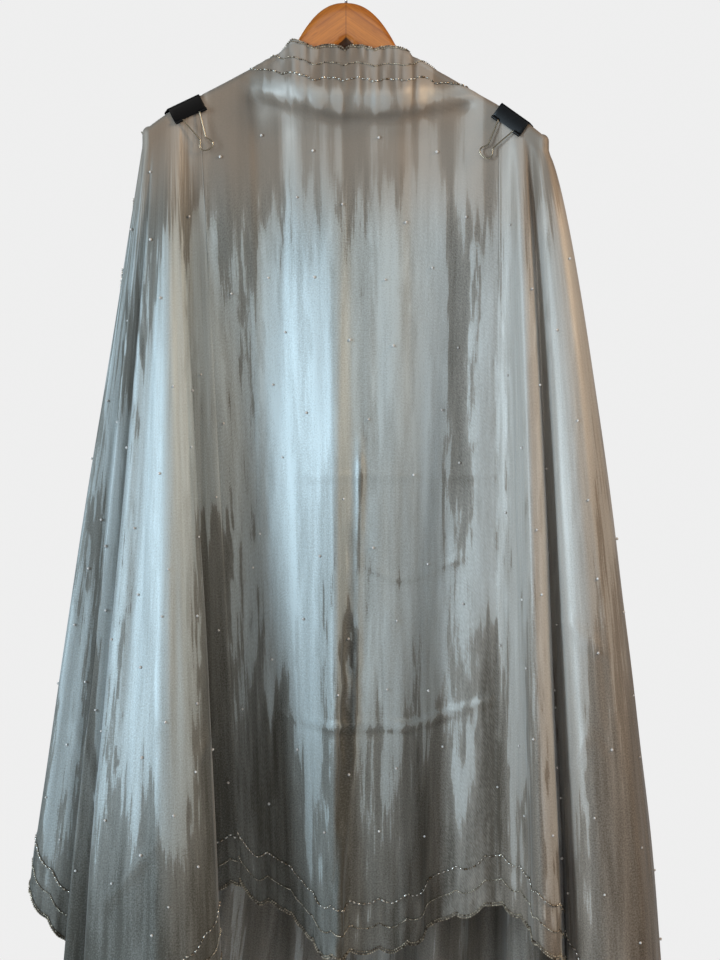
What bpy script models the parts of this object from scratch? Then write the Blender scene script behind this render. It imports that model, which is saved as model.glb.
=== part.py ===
"""A dupatta hung over a wooden hanger and held by two spring clips.

Metres. +X is the viewer's right, +Y away from the viewer, +Z up. The origin is the inside of the hook's top,
where a rail bears. The cloth is one rectangle. Between the clips it hangs straight, and outside each clip it
falls in folds that radiate from the clip, so a fold's length follows from where its ray leaves the rectangle.
"""

import math

import bmesh
import bpy
import numpy as np
from mathutils import Matrix, Vector

# Cloth: the flat rectangle, and how far its top border goes over the arms at a clip
CLOTH_WIDTH = 1.08
CLOTH_WALL = 0.0014
LEFT_REACH = 0.83
RIGHT_REACH = 1.12
CLIP_DROP = 0.915
BORDER = 0.058
BORDER_LINES = (("edge", 0.0022, 0.0026), ("cord_line", 0.030, 0.0018), ("bugle_line", BORDER, 0.0028))
TRIM_THICK = 0.0012
SEAM = 0.0003
SIDE_SEAM = 0.0006

# Hanger
ARM_THICK = 0.0094
ARM_HEIGHT = 0.028
ARM_END = 0.2235
ARM_TIP = 0.219
TIP_FORWARD = 0.040
RIDGE_TOP = -0.0785
RIDGE_SLOPE = 0.62
HANGER_TILT = 0.02
SHOULDER_X = 0.180
SHOULDER_DROP = 0.006
CROWN_TOP = -0.065
CROWN_RISE = 0.045
CROWN_HALF = 0.055
CROWN_POWER = 2.3
WOOD_BELOW_CLOTH = 0.0027
CENTRE_DROP = 0.008
CENTRE_HALF = 0.020
HOOK_WIRE = 0.0017
HOOK_INSIDE = 0.019

# How the cloth passes over an arm
OVER_RADIUS = 0.0078
CLIP_HUG = 0.014
NECK_HALF = 0.077
NECK_BLEND = 0.02
NECK_LEAN_HALF = 0.080
NECK_FADE = 0.075
NECK_RETURN_FLAP = 0.062
NECK_EDGE_Z = -0.116
NECK_TILT = 0.03
SLACK_START = 0.06
SLACK_EASE = 0.70
NECK_CLEAR = 0.0038

# Spring clips, in their own frame: x along the arm, y through it, z out from its ridge
CLIP_WIDTH = 0.040
CLIP_HEIGHT = 0.0200
CLIP_PLATE = 0.0008
JAW_FRONT = -0.0103
JAW_BACK = 0.0122
SPINE_Z = 0.0016
SPINE_CORNER = 0.0022
ROLL_RADIUS = 0.0019
ROLL_BORE = 0.0010
ROLL_OFFSET = 0.00115
ROLL_START = 0.0114
WIRE = 0.00065
HANDLE_TILT = {"front": 1.5, "back": 13.0}

# Clips: side, centre x, tilt of the clip along the arm (degrees)
CLIPS = (("left", -0.184, 29.5), ("right", 0.192, -39.0))

# Half of a clip's wire handle, from its end in the rolled lip to the middle of its loop: across, down
HANDLE_HALF = (
    (0.0182, 0.0), (0.0112, 0.0), (0.0104, 0.0007), (0.0101, 0.0024), (0.0068, 0.0150), (0.0040, 0.0262),
    (0.0039, 0.0285), (0.0053, 0.0310), (0.0073, 0.0340), (0.0078, 0.0368), (0.0066, 0.0395), (0.0040, 0.0411),
    (0.0, 0.0416),
)

# Front panel, from left to right. flap: cloth behind the arm's ridge. slack: cloth taken up by the sag.
PANEL = (
    # top_x, flap, slack, hem_x, hem_y
    (-0.164, 0.165, 0.000, -0.122, 0.034),
    (-0.140, 0.117, 0.016, -0.103, 0.030),
    (-0.104, 0.052, 0.058, -0.078, 0.016),
    (-0.066, 0.010, 0.042, -0.050, -0.006),
    (-0.040, 0.000, 0.027, -0.028, -0.032),
    (-0.012, 0.000, 0.025, -0.010, -0.052),
    (0.010, 0.000, 0.027, 0.006, -0.028),
    (0.036, 0.000, 0.028, 0.034, -0.022),
    (0.066, 0.003, 0.029, 0.062, -0.012),
    (0.094, 0.030, 0.036, 0.084, 0.006),
    (0.130, 0.052, 0.060, 0.106, 0.022),
    (0.152, 0.090, 0.044, 0.136, 0.012),
    (0.172, 0.165, 0.000, 0.170, 0.002),
)

# Direction of the front cloth, in degrees forward of straight down, by distance from the ridge or neck edge
ARM_ANGLES = ((0, 90), (0.0122, 0), (0.03, 0), (1.1, 0))
NECK_ANGLES = (
    (0, 30), (0.03, 35), (0.056, 42), (0.068, 24), (0.080, -14), (0.095, -44), (0.112, -38), (0.135, -10), (0.2, 0),
    (1.1, 0),
)

# Folds outside the clips, from the panel round to the back. ring: place on the loop round the arm's end,
# 0 at the clip in front, 0.5 at the tip and 1 at the clip behind. angle: the ray's direction on the flat
# cloth, in degrees, 0 straight to the hem and 90 along the top edge. x, y: place FOLD_LEVEL down the ray.
FOLD_LEVEL = 0.90
LEFT_FOLDS = (
    # name, ring, angle, x, y
    ("panel_side", 0.00, 0, -0.1220, 0.034),
    ("hidden_pleat", 0.08, 6, -0.186, 0.030),
    ("pleat_turn", 0.13, 9, -0.206, -0.004),
    ("inner_crest", 0.17, 17, -0.136, -0.074),
    ("near_ridge", 0.24, 26, -0.196, -0.128),
    ("second_ridge", 0.30, 32, -0.246, -0.108),
    ("fold_a_crest", 0.34, 37, -0.284, -0.090),
    ("fold_a_valley", 0.38, 42, -0.244, -0.026),
    ("fold_b_crest", 0.42, 49, -0.316, -0.048),
    ("fold_b_valley", 0.46, 55, -0.280, 0.014),
    ("outer_crest", 0.50, 69, -0.374, 0.012),
    ("back_turn", 0.58, 75, -0.352, 0.080),
    ("back_valley_1", 0.70, 80, -0.286, 0.066),
    ("back_crest_1", 0.85, 85, -0.262, 0.134),
    ("back_end", 1.00, 90, -0.218, 0.086),
)
RIGHT_FOLDS = (
    ("panel_side", 0.00, 0, 0.1700, 0.002),
    ("inner_run", 0.08, 3, 0.198, -0.030),
    ("streak_crest", 0.16, 9, 0.214, -0.104),
    ("streak_side", 0.21, 12, 0.236, -0.090),
    ("deep_valley", 0.27, 17, 0.244, -0.022),
    ("lobe_crest", 0.33, 22, 0.262, -0.094),
    ("lobe_front", 0.39, 26, 0.308, -0.104),
    ("lobe_side", 0.45, 30, 0.344, -0.066),
    ("outer_crest", 0.50, 34, 0.354, -0.018),
    ("back_turn", 0.54, 39, 0.346, 0.052),
    ("back_valley_1", 0.60, 44, 0.292, 0.046),
    ("back_crest_1", 0.66, 49, 0.272, 0.126),
    ("back_valley_2", 0.71, 54, 0.216, 0.074),
    ("back_crest_2", 0.76, 59, 0.172, 0.142),
    ("back_valley_3", 0.81, 64, 0.108, 0.094),
    ("back_crest_3", 0.86, 69, 0.052, 0.152),
    ("back_valley_4", 0.91, 74, -0.018, 0.104),
    ("back_crest_4", 0.95, 80, -0.084, 0.148),
    ("back_valley_5", 0.98, 85, -0.140, 0.106),
    ("back_end", 1.00, 90, -0.186, 0.140),
)
SAMPLES = 600
SPLINE_STEPS = 24
PANEL_COLUMNS = 26
LEFT_FALL_COLUMNS = (46, 28)
RIGHT_FALL_COLUMNS = (32, 42)
SPLIT_GAP = 0.0006
RING_GAP = 0.008
TIP_BEND = 0.22
CORNER_SHARPNESS = 40.0
FAR = 9.0
BEHIND_FLAP = 0.0032
OUTER_FLARE = {"left": 1.0, "right": 0.72}
LATE_SHARE = 0.82
LATE_REACH = 0.40
LATE_EASE = 0.55

# Rows down a stretch, as distances from the ridge (panel) or shares of a ray (falls)
PANEL_ROWS = (0, 0.0042, 0.0084, 0.0126, 0.028, 0.042, 0.056, 0.067, 0.080, 0.095, 0.115, 0.15, 0.25, 0.45)
PANEL_LOW_ROWS = (0.70,)
PANEL_SIDE_REACH = 0.030
FLAP_ROWS = (0.0035, 0.0080, 0.0126)
FLAP_SHARES = (0.5, 1.0)
FLAP_LEAST = 0.0165
FLAP_SHOWS_FROM = 0.03
FALL_ROWS = (0.0020, 0.0056, 0.0092, 0.0126, 0.0265, 0.05, 0.09)
FALL_SHARES = (0.2, 0.42, 0.64, 0.84, 1.0)

# Finish of each kind of piece: colour, roughness, metallic
COLOURS = {
    "cloth": ((0.36, 0.37, 0.35, 1), 0.35, 0.25),
    "beads": ((0.42, 0.34, 0.24, 1), 0.3, 0.8),
    "wood": ((0.45, 0.21, 0.07, 1), 0.35, 0.0),
    "steel": ((0.75, 0.75, 0.76, 1), 0.2, 1.0),
    "brass": ((0.62, 0.52, 0.36, 1), 0.25, 1.0),
    "black": ((0.01, 0.01, 0.012, 1), 0.3, 0.1),
}


def clear_scene():
    for obj in list(bpy.data.objects):
        bpy.data.objects.remove(obj, do_unlink=True)


def new_collection(name):
    collection = bpy.data.collections.new(name)
    bpy.context.scene.collection.children.link(collection)
    return collection


def material_for(name, kind):
    colour, roughness, metallic = COLOURS[kind]
    material = bpy.data.materials.new(f"{name}_{kind}")
    material.use_nodes = True
    shader = material.node_tree.nodes["Principled BSDF"]
    shader.inputs["Base Color"].default_value = colour
    shader.inputs["Roughness"].default_value = roughness
    shader.inputs["Metallic"].default_value = metallic
    material.diffuse_color = colour
    return material


def add_object(name, mesh, kind, collection):
    obj = bpy.data.objects.new(name, mesh)
    collection.objects.link(obj)
    mesh.materials.clear()
    mesh.materials.append(material_for(name, kind))
    return obj


def smooth(value):
    value = np.clip(value, 0, 1)
    return value * value * (3 - 2 * value)


def between(a, b, start, stop, t):
    return a + (b - a) * (t - start) / (stop - start)


def spline(rows, count):
    """Points along a centripetal Catmull-Rom curve through the rows, even in plan length (the last two columns)."""
    rows = np.array(rows, float)
    ends = np.vstack([2 * rows[0] - rows[1], rows, 2 * rows[-1] - rows[-2]])
    fine = []
    for p0, p1, p2, p3 in zip(ends, ends[1:], ends[2:], ends[3:]):
        gaps = [math.sqrt(np.linalg.norm((b - a)[-2:])) for a, b in ((p0, p1), (p1, p2), (p2, p3))]
        t0, t1, t2, t3 = (sum(gaps[:count_before]) for count_before in range(4))
        for t in np.linspace(t1, t2, SPLINE_STEPS, endpoint=False):
            a, b, c = between(p0, p1, t0, t1, t), between(p1, p2, t1, t2, t), between(p2, p3, t2, t3, t)
            fine.append(between(between(a, b, t0, t2, t), between(b, c, t1, t3, t), t1, t2, t))
    fine = np.array(fine + [rows[-1]])
    steps = np.linalg.norm(np.diff(fine[:, -2:], axis=0), axis=1)
    along = np.concatenate([[0], np.cumsum(steps)])
    shares = np.linspace(0, along[-1], count)
    return np.column_stack([np.interp(shares, along, column) for column in fine.T])


# The hanger's ridge, which the cloth follows


def ridge_z(x):
    """Height of the cloth where it passes over an arm."""
    beyond = np.clip((np.abs(x) - SHOULDER_X) / (ARM_TIP - SHOULDER_X), 0, 2)
    return RIDGE_TOP - RIDGE_SLOPE * np.abs(x) - HANGER_TILT * x - SHOULDER_DROP * beyond**2


def arm_y(x):
    """The arms curve forward towards their tips."""
    return -TIP_FORWARD * (np.abs(x) / ARM_TIP) ** 2


def neckness(x):
    """1 in front of the crown, where the top border leans forward, and 0 where it has gone over the arms."""
    return 1 - smooth((np.abs(x) - NECK_LEAN_HALF) / NECK_FADE)


# Surfaces of the cloth, each a function from a place along it and a distance down it to a point


def panel_column(column):
    top_x, flap, slack, hem_x, hem_y = column
    return {"top_x": top_x, "flap": flap, "slack": slack, "hem_x": hem_x, "hem_y": hem_y}


def angle_steps(table, distances):
    table = np.array(table, float)
    return np.radians(np.interp(distances, table[:, 0], table[:, 1]))


def plain_panel_point(column, q):
    """Point of the front panel at distance q below the ridge or the neck's edge, without its side seams."""
    top_x, length = column["top_x"], CLOTH_WIDTH - column["flap"]
    neck = float(neckness(top_x))
    steps = np.linspace(0, q, max(2, int(q / 0.0015)))
    middle = (steps[:-1] + steps[1:]) / 2
    over = angle_steps(ARM_ANGLES, middle)
    lean = angle_steps(NECK_ANGLES, middle + column["flap"])
    returning = max(0, 1 - column["flap"] / NECK_RETURN_FLAP)
    angles = neck * np.where(lean < 0, lean * returning, lean) + (1 - neck) * over
    gap = np.diff(steps)
    stand = float(smooth((NECK_HALF - abs(top_x)) / NECK_BLEND))
    angles = np.where(middle < ARM_ANGLES[1][0], stand * angles + (1 - stand) * over, angles)
    start_y = (1 - stand) * arm_y(top_x) - stand * (ARM_THICK / 2 + NECK_CLEAR)
    start_z = (1 - stand) * ridge_z(top_x) + stand * (NECK_EDGE_Z - NECK_TILT * top_x)
    y = start_y - float(np.sum(np.sin(angles) * gap))
    z = start_z - float(np.sum(np.cos(angles) * gap))
    z += column["slack"] * float(smooth((q - SLACK_START) / SLACK_EASE))
    share = q / length
    y += (column["hem_y"] - start_y + 0.012) * float(smooth((q - 0.05) / 0.25)) * share
    x = top_x + (column["hem_x"] - top_x) * share
    return Vector((x, y, z))


def side_shift(side, q):
    """How far the panel's side moves to meet the first ray of the falls beside it."""
    sign, folds, edge = (-1, LEFT_FOLDS, PANEL[0]) if side == "left" else (1, RIGHT_FOLDS, PANEL[-1])
    _, ring, _, x, y = folds[0]
    seam = Vector((sign * SIDE_SEAM, 0, 0))
    return fall_point(side, (ring, x, y), q) - seam - plain_panel_point(panel_column(edge), q)


def panel_point(column, v):
    """Point of the front panel at distance v from the cloth's top edge, in front of the ridge."""
    q = v - column["flap"]
    point = plain_panel_point(column, q)
    for side, edge_x in (("left", PANEL[0][0]), ("right", PANEL[-1][0])):
        weight = float(smooth(1 - abs(column["top_x"] - edge_x) / PANEL_SIDE_REACH))
        if weight > 0:
            point += side_shift(side, q) * weight
    return point


def flap_point(column, down):
    """Point of the border behind the arm, at a distance down from the ridge."""
    x = column["top_x"]
    turn = min(down / OVER_RADIUS, math.pi / 2)
    y = arm_y(x) + OVER_RADIUS * math.sin(turn)
    z = ridge_z(x) - OVER_RADIUS * (1 - math.cos(turn)) - max(0, down - OVER_RADIUS * math.pi / 2)
    return Vector((x, y, z))


def ring_place(side, ring):
    """Ridge point and outward direction at a place on the loop round the arm's end."""
    sign = -1 if side == "left" else 1
    clip_x = abs(PANEL[0][0] if side == "left" else PANEL[-1][0])
    straight = ARM_TIP - clip_x
    before = 0.5 - TIP_BEND / 2
    if ring < before:
        x, turn = clip_x + straight * ring / before, 0.0
    elif ring > 1 - before:
        x, turn = clip_x + straight * (1 - ring) / before, math.pi
    else:
        x, turn = ARM_TIP, math.pi * (ring - before) / TIP_BEND
    outward = Vector((sign * math.sin(turn), -math.cos(turn), 0))
    return Vector((sign * x, arm_y(x), ridge_z(sign * x))), outward


def fall_point(side, fold, down):
    """Point of a fall at a distance down its ray, for a place on the curve of its folds."""
    ring, fold_x, fold_y = fold
    ridge, outward = ring_place(side, ring)
    turn = min(down / OVER_RADIUS, math.pi / 2)
    hang = max(0, down - OVER_RADIUS * math.pi / 2)
    behind = BEHIND_FLAP * float(smooth((ring - 0.6) / 0.2))
    base = ridge + outward * (OVER_RADIUS * math.sin(turn) + SEAM + behind)
    drop = OVER_RADIUS * (1 - math.cos(turn))
    share = max(0, hang - CLIP_HUG) / FOLD_LEVEL
    late = max(0, share - LATE_SHARE)
    power = 1 - (1 - OUTER_FLARE[side]) * float(smooth(ring / 0.35))
    flare = share**power - LATE_EASE * min(late, LATE_REACH) * (2 * late - min(late, LATE_REACH))
    spread = Vector((fold_x, fold_y, 0)) - Vector((base.x, base.y, 0))
    shift = spread * flare
    slant = spread.length / FOLD_LEVEL
    return Vector((base.x + shift.x, base.y + shift.y, ridge.z - drop - hang * math.sqrt(1 - min(slant, 0.6) ** 2)))


def ray_length(side, angle, inset=0.0):
    """Length of a ray from the clip to the rectangle's border, less an inset from that border."""
    reach = LEFT_REACH if side == "left" else RIGHT_REACH
    to_hem = min(FAR, (CLIP_DROP - inset) / max(math.cos(angle), 1e-6))
    to_end = min(FAR, (reach - inset) / max(math.sin(angle), 1e-6))
    total = math.exp(-CORNER_SHARPNESS * to_hem) + math.exp(-CORNER_SHARPNESS * to_end)
    return -math.log(total) / CORNER_SHARPNESS


# Meshes


def grid_mesh(name, rows):
    """A sheet from rows of points."""
    mesh = bpy.data.meshes.new(name)
    across = len(rows[0])
    points = [point for row in rows for point in row]
    faces = [
        (r * across + c, (r + 1) * across + c, (r + 1) * across + c + 1, r * across + c + 1)
        for r in range(len(rows) - 1)
        for c in range(across - 1)
    ]
    mesh.from_pydata(points, [], faces)
    mesh.shade_smooth()
    return mesh


def add_sheet(name, rows, kind, collection, wall=CLOTH_WALL):
    obj = add_object(name, grid_mesh(name, rows), kind, collection)
    thickness = obj.modifiers.new("wall", "SOLIDIFY")
    thickness.thickness = wall
    thickness.offset = 0
    return obj


def outward_shifts(rows):
    """For each point of a grid, the vector that moves both faces beside it out by one unit."""
    grid = np.array([[tuple(point) for point in row] for row in rows])
    down = np.gradient(grid, axis=0)
    faces = np.cross((down[:, :-1] + down[:, 1:]) / 2, np.diff(grid, axis=1))
    faces /= np.linalg.norm(faces, axis=2, keepdims=True)
    before = np.concatenate([faces[:, :1], faces], axis=1)
    after = np.concatenate([faces, faces[:, -1:]], axis=1)
    normals = before + after
    normals /= np.linalg.norm(normals, axis=2, keepdims=True)
    turn = np.maximum(np.sum(normals * before, axis=2, keepdims=True), 0.5)
    return normals / turn


def add_trim(name, sheet, inset_point, inset, width, collection, facing):
    """A strip along a border line, made from its sheet's own points and moved out."""
    rows = [[inset_point(column, inset + step * width / 2) for column in sheet[1:-1]] for step in (1, -1)]
    lift = (CLOTH_WALL + TRIM_THICK) / 2 + 3 * SEAM
    shifts = outward_shifts(rows) * facing * lift
    rows = [[point + Vector(shift) for point, shift in zip(*pair)] for pair in zip(rows, shifts)]
    return add_sheet(name, rows, "beads", collection, TRIM_THICK)


# The stretches of cloth


def build_panel(collection):
    columns = [panel_column(row) for row in spline(PANEL, PANEL_COLUMNS)]
    rows = []
    for distance in PANEL_ROWS:
        rows.append([panel_point(column, column["flap"] + distance) for column in columns])
    for share in PANEL_LOW_ROWS:
        rows.append([
            panel_point(column, column["flap"] + share * (CLOTH_WIDTH - column["flap"])) for column in columns
        ])
    for inset in (BORDER, BORDER_LINES[1][1], 0):
        rows.append([panel_point(column, CLOTH_WIDTH - inset) for column in columns])
    add_sheet("front_panel", rows, "cloth", collection)
    for line, inset, width in BORDER_LINES:
        add_trim(
            f"front_hem_{line}", columns, lambda column, d: panel_point(column, CLOTH_WIDTH - d),
            inset, width, collection, 1,
        )
        shown = [index for index, column in enumerate(columns) if column["flap"] < inset - width / 2]
        add_trim(
            f"neck_{line}", columns[shown[0] - 1:shown[-1] + 2], panel_point, inset, -width, collection, 1,
        )
    for side, sign in (("left", -1), ("right", 1)):
        behind = [
            column for column in columns if column["flap"] > FLAP_SHOWS_FROM and column["top_x"] * sign > 0
        ]
        rows = [[flap_point(column, distance) for column in behind] for distance in FLAP_ROWS]
        for share in FLAP_SHARES:
            rows.append([flap_point(column, max(FLAP_LEAST, column["flap"] * share)) for column in behind])
        add_sheet(f"{side}_turnover", rows[::-1], "cloth", collection)


def build_falls(side, folds, counts, collection):
    """The front and back stretches of one side, which meet at the outer crest."""
    table = spline([row[1:] for row in folds], SAMPLES)
    shares = np.linspace(0, 1, SAMPLES)
    split = float(np.interp(0.5, table[:, 0], shares))
    stretches = (
        ("front", 0.0, split - SPLIT_GAP, counts[0], -RING_GAP), ("back", split + SPLIT_GAP, 1.0, counts[1], RING_GAP),
    )
    facing = 1 if side == "right" else -1
    for part, start, stop, count, ring_shift in stretches:
        places = np.linspace(start, stop, count)
        columns = []
        for place in places:
            ring, angle, x, y = (float(np.interp(place, shares, column)) for column in table.T)
            ring += ring_shift * (1 - abs(2 * ring - 1))
            columns.append({"fold": (ring, x, y), "angle": math.radians(angle)})

        def point(column, down):
            return fall_point(side, column["fold"], down)

        rows = [[point(column, distance) for column in columns] for distance in FALL_ROWS]
        for share in FALL_SHARES:
            rows.append([point(column, share * ray_length(side, column["angle"], BORDER)) for column in columns])
        for inset in (BORDER_LINES[1][1], 0):
            rows.append([point(column, ray_length(side, column["angle"], inset)) for column in columns])
        add_sheet(f"{side}_falls_{part}", rows, "cloth", collection)
        for line, inset, width in BORDER_LINES:
            add_trim(
                f"{side}_{part}_hem_{line}", columns,
                lambda column, d: point(column, ray_length(side, column["angle"], d)),
                inset, width, collection, facing,
            )


def build_cloth(collection):
    build_panel(collection)
    build_falls("left", LEFT_FOLDS, LEFT_FALL_COLUMNS, collection)
    build_falls("right", RIGHT_FOLDS, RIGHT_FALL_COLUMNS, collection)


# The hanger


def wood_top(x):
    """Top of the wood: the arms just inside the cloth, and the crown between them."""
    arm = ridge_z(x) - WOOD_BELOW_CLOTH
    crown = CROWN_TOP - CROWN_RISE * (abs(x) / CROWN_HALF) ** CROWN_POWER - HANGER_TILT * x
    return max(arm, crown)


def wood_section(x, points=18):
    """Rounded section of the hanger across the arm at x, smaller where the tip rounds off."""
    into_tip = max(0, abs(x) - (ARM_END - ARM_THICK)) / ARM_THICK
    size = math.sqrt(max(0.04, 1 - min(into_tip, 1) ** 2))
    top = wood_top(x)
    bottom = ridge_z(x) - WOOD_BELOW_CLOTH - ARM_HEIGHT - CENTRE_DROP * math.exp(-((x / CENTRE_HALF) ** 2))
    middle, half = (top + bottom) / 2, (top - bottom) / 2 * size
    section = []
    for step in range(points):
        turn = 2 * math.pi * step / points
        c, s = math.cos(turn), math.sin(turn)
        across = math.copysign(abs(c) ** 0.8, c) * ARM_THICK / 2 * size
        up = math.copysign(abs(s) ** 0.8, s) * half
        section.append(Vector((x, arm_y(x) + across, middle + up)))
    return section


def build_hanger(collection):
    inner = np.linspace(-0.070, 0.070, 21)
    outer = np.concatenate([np.linspace(0.085, 0.205, 8), ARM_END - ARM_THICK * np.array([0.7, 0.35, 0.1, 0])])
    places = np.concatenate([-outer[::-1], inner, outer])
    sections = [wood_section(float(x)) for x in places]
    mesh = grid_mesh("hanger_body", [section + section[:1] for section in sections])
    body = bmesh.new()
    body.from_mesh(mesh)
    bmesh.ops.remove_doubles(body, verts=body.verts, dist=1e-6)
    bmesh.ops.holes_fill(body, edges=[edge for edge in body.edges if edge.is_boundary])
    bmesh.ops.recalc_face_normals(body, faces=body.faces)
    body.to_mesh(mesh)
    body.free()
    add_object("hanger_body", mesh, "wood", collection)


def add_wire(name, points, radius, kind, collection):
    curve = bpy.data.curves.new(name, "CURVE")
    curve.dimensions = "3D"
    curve.bevel_depth = radius
    curve.bevel_resolution = 2
    curve.use_fill_caps = True
    line = curve.splines.new("POLY")
    line.points.add(len(points) - 1)
    for place, point in zip(line.points, points):
        place.co = (*point, 1)
    obj = bpy.data.objects.new(name, curve)
    collection.objects.link(obj)
    curve.materials.append(material_for(name, kind))
    return obj


def build_hook(collection):
    """A question-mark hook, whose ring is centred over the stem."""
    ring = HOOK_INSIDE + HOOK_WIRE
    middle = -HOOK_INSIDE
    stem_foot = CROWN_TOP + SEAM
    route = [Vector((0, 0, stem_foot)), Vector((0, 0, -0.054))]
    route += [Vector((0.0012, 0, -0.0495)), Vector((0.0052, 0, -0.0440)), Vector((0.0108, 0, -0.0387))]
    for degrees in range(-38, 216, 12):
        turn = math.radians(degrees)
        route.append(Vector((ring * math.cos(turn), 0, middle + ring * math.sin(turn))))
    add_wire("hanger_hook", route, HOOK_WIRE, "steel", collection)


# The spring clips


def clip_frame(x, tilt):
    """Matrix of a clip's own frame: x along the arm, y through it, z out from its ridge."""
    slope_y = (arm_y(x + 0.001) - arm_y(x - 0.001)) / 0.002
    along = Vector((1, slope_y, math.tan(math.radians(tilt)))).normalized()
    through = Vector((-slope_y, 1, 0)).normalized()
    out = along.cross(through)
    frame = Matrix((along, through, out)).transposed().to_4x4()
    frame.translation = Vector((x, arm_y(x), ridge_z(x)))
    return frame


def cylinder_along_x(mesh, start, stop, y, z, radius, sides=16):
    made = bmesh.ops.create_cone(
        mesh, cap_ends=True, segments=sides, radius1=radius, radius2=radius, depth=abs(stop - start)
    )
    turn = Matrix.Rotation(math.pi / 2, 4, "Y")
    place = Matrix.Translation(((start + stop) / 2, y, z))
    bmesh.ops.transform(mesh, matrix=place @ turn, verts=made["verts"])


def helper(name, cylinders, frame, collection):
    mesh = bmesh.new()
    for cylinder in cylinders:
        cylinder_along_x(mesh, *cylinder)
    data = bpy.data.meshes.new(name)
    mesh.to_mesh(data)
    mesh.free()
    obj = bpy.data.objects.new(name, data)
    obj.matrix_world = frame
    obj.hide_render = True
    obj.display_type = "WIRE"
    collection.objects.link(obj)
    return obj


def hinge_axes():
    """Place of the front and back rolled lips in a clip's frame, as name, y, z and the side they face."""
    z = SPINE_Z + CLIP_PLATE / 2 - CLIP_HEIGHT + ROLL_RADIUS
    return (
        ("front", JAW_FRONT - CLIP_PLATE - ROLL_OFFSET, z, -1),
        ("back", JAW_BACK + CLIP_PLATE + ROLL_OFFSET, z, 1),
    )


def build_clip(side, x, tilt, collection, helpers):
    frame = clip_frame(x, tilt)
    axes = hinge_axes()
    half, middle = CLIP_WIDTH / 2, CLIP_PLATE / 2
    front, back, spine = JAW_FRONT - middle, JAW_BACK + middle, SPINE_Z + middle
    lip = axes[0][2]
    profile = (
        (front, lip), (front, spine - SPINE_CORNER), (front + SPINE_CORNER * 0.3, spine - SPINE_CORNER * 0.3),
        (front + SPINE_CORNER, spine), (back - SPINE_CORNER, spine),
        (back - SPINE_CORNER * 0.3, spine - SPINE_CORNER * 0.3), (back, spine - SPINE_CORNER), (back, lip),
    )
    rows = [[Vector((end, y, z)) for y, z in profile] for end in (-half, half)]
    body = add_sheet(f"{side}_clip_body", rows, "black", collection, CLIP_PLATE)
    body.matrix_world = frame
    rolls = [
        (start, stop, y, z, ROLL_RADIUS)
        for _, y, z, _ in axes
        for start, stop in ((-half + 0.0003, -ROLL_START), (ROLL_START, half - 0.0003))
    ]
    bores = [(-half - 0.002, half + 0.002, y, z, ROLL_BORE) for _, y, z, _ in axes]
    for operation, cylinders in (("UNION", rolls), ("DIFFERENCE", bores)):
        tool = helper(f"{side}_clip_{operation.lower()}", cylinders, frame, helpers)
        step = body.modifiers.new(operation.lower(), "BOOLEAN")
        step.operation = operation
        step.object = tool
    for name, y, z, facing in axes:
        path = [Vector((across, 0, -down)) for across, down in HANDLE_HALF]
        path += [Vector((-point.x, 0, point.z)) for point in reversed(path[:-1])]
        handle = add_wire(f"{side}_clip_handle_{name}", path, WIRE, "brass", collection)
        swing = Matrix.Rotation(facing * math.radians(HANDLE_TILT[name]), 4, "X")
        handle.matrix_world = frame @ Matrix.Translation((0, y, z)) @ swing


def main():
    clear_scene()
    collection = new_collection("dupatta_on_hanger")
    helpers = new_collection("helpers")
    build_cloth(collection)
    build_hanger(collection)
    build_hook(collection)
    for side, x, tilt in CLIPS:
        build_clip(side, x, tilt, collection, helpers)


main()
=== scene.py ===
"""Looks of a dupatta hung over a wooden hanger and held by two spring clips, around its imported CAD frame.

Metres. +X is the viewer's right, +Y away from the viewer, +Z up. The origin is the inside of the hook's top.
The cloth is one rectangle: a panel between the clips, and falls whose folds radiate from each clip.
"""

import logging
import math
from dataclasses import dataclass
from enum import Enum
from typing import Sequence

import bmesh
import bpy
import numpy as np
from mathutils import Matrix, Vector


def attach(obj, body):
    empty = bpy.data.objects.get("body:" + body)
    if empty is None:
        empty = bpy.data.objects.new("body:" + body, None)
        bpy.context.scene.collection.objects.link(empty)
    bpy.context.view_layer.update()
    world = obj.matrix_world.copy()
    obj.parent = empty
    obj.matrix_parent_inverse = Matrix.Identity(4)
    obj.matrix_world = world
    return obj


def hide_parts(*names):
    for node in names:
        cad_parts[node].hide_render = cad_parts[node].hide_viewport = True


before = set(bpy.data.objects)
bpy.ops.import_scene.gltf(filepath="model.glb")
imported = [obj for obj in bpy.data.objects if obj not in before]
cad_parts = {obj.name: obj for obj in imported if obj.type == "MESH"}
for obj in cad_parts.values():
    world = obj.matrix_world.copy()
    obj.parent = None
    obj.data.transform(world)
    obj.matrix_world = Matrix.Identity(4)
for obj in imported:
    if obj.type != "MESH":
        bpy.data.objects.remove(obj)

LOG = logging.getLogger("dupatta")
ROOT_BODY = "dupatta_and_hanger"
Triple = tuple[float, float, float]
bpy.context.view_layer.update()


class Side(Enum):
    """Side of the hanger, with the sign of its x."""

    LEFT = -1
    RIGHT = 1

    @property
    def label(self) -> str:
        """The side's name in node names."""
        return self.name.lower()


# ---------------------------------------------------------------- numbers and curves


def smooth(value: np.ndarray) -> np.ndarray:
    """Ease from 0 to 1 over the range 0 to 1."""
    value = np.clip(value, 0.0, 1.0)
    return value * value * (3 - 2 * value)


def rise(value: np.ndarray, start: float, span: float) -> np.ndarray:
    """Ease from 0 at start to 1 a span later."""
    return smooth((value - start) / span)


def between(a: np.ndarray, b: np.ndarray, start: float, stop: float, t: float) -> np.ndarray:
    """Line through a at start and b at stop, read at t."""
    return a + (b - a) * (t - start) / (stop - start)


def curve_run(points: np.ndarray) -> np.ndarray:
    """Distance along a curve at each of its points."""
    return np.concatenate([[0], np.cumsum(np.linalg.norm(np.diff(points, axis=0), axis=1))])


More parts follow.
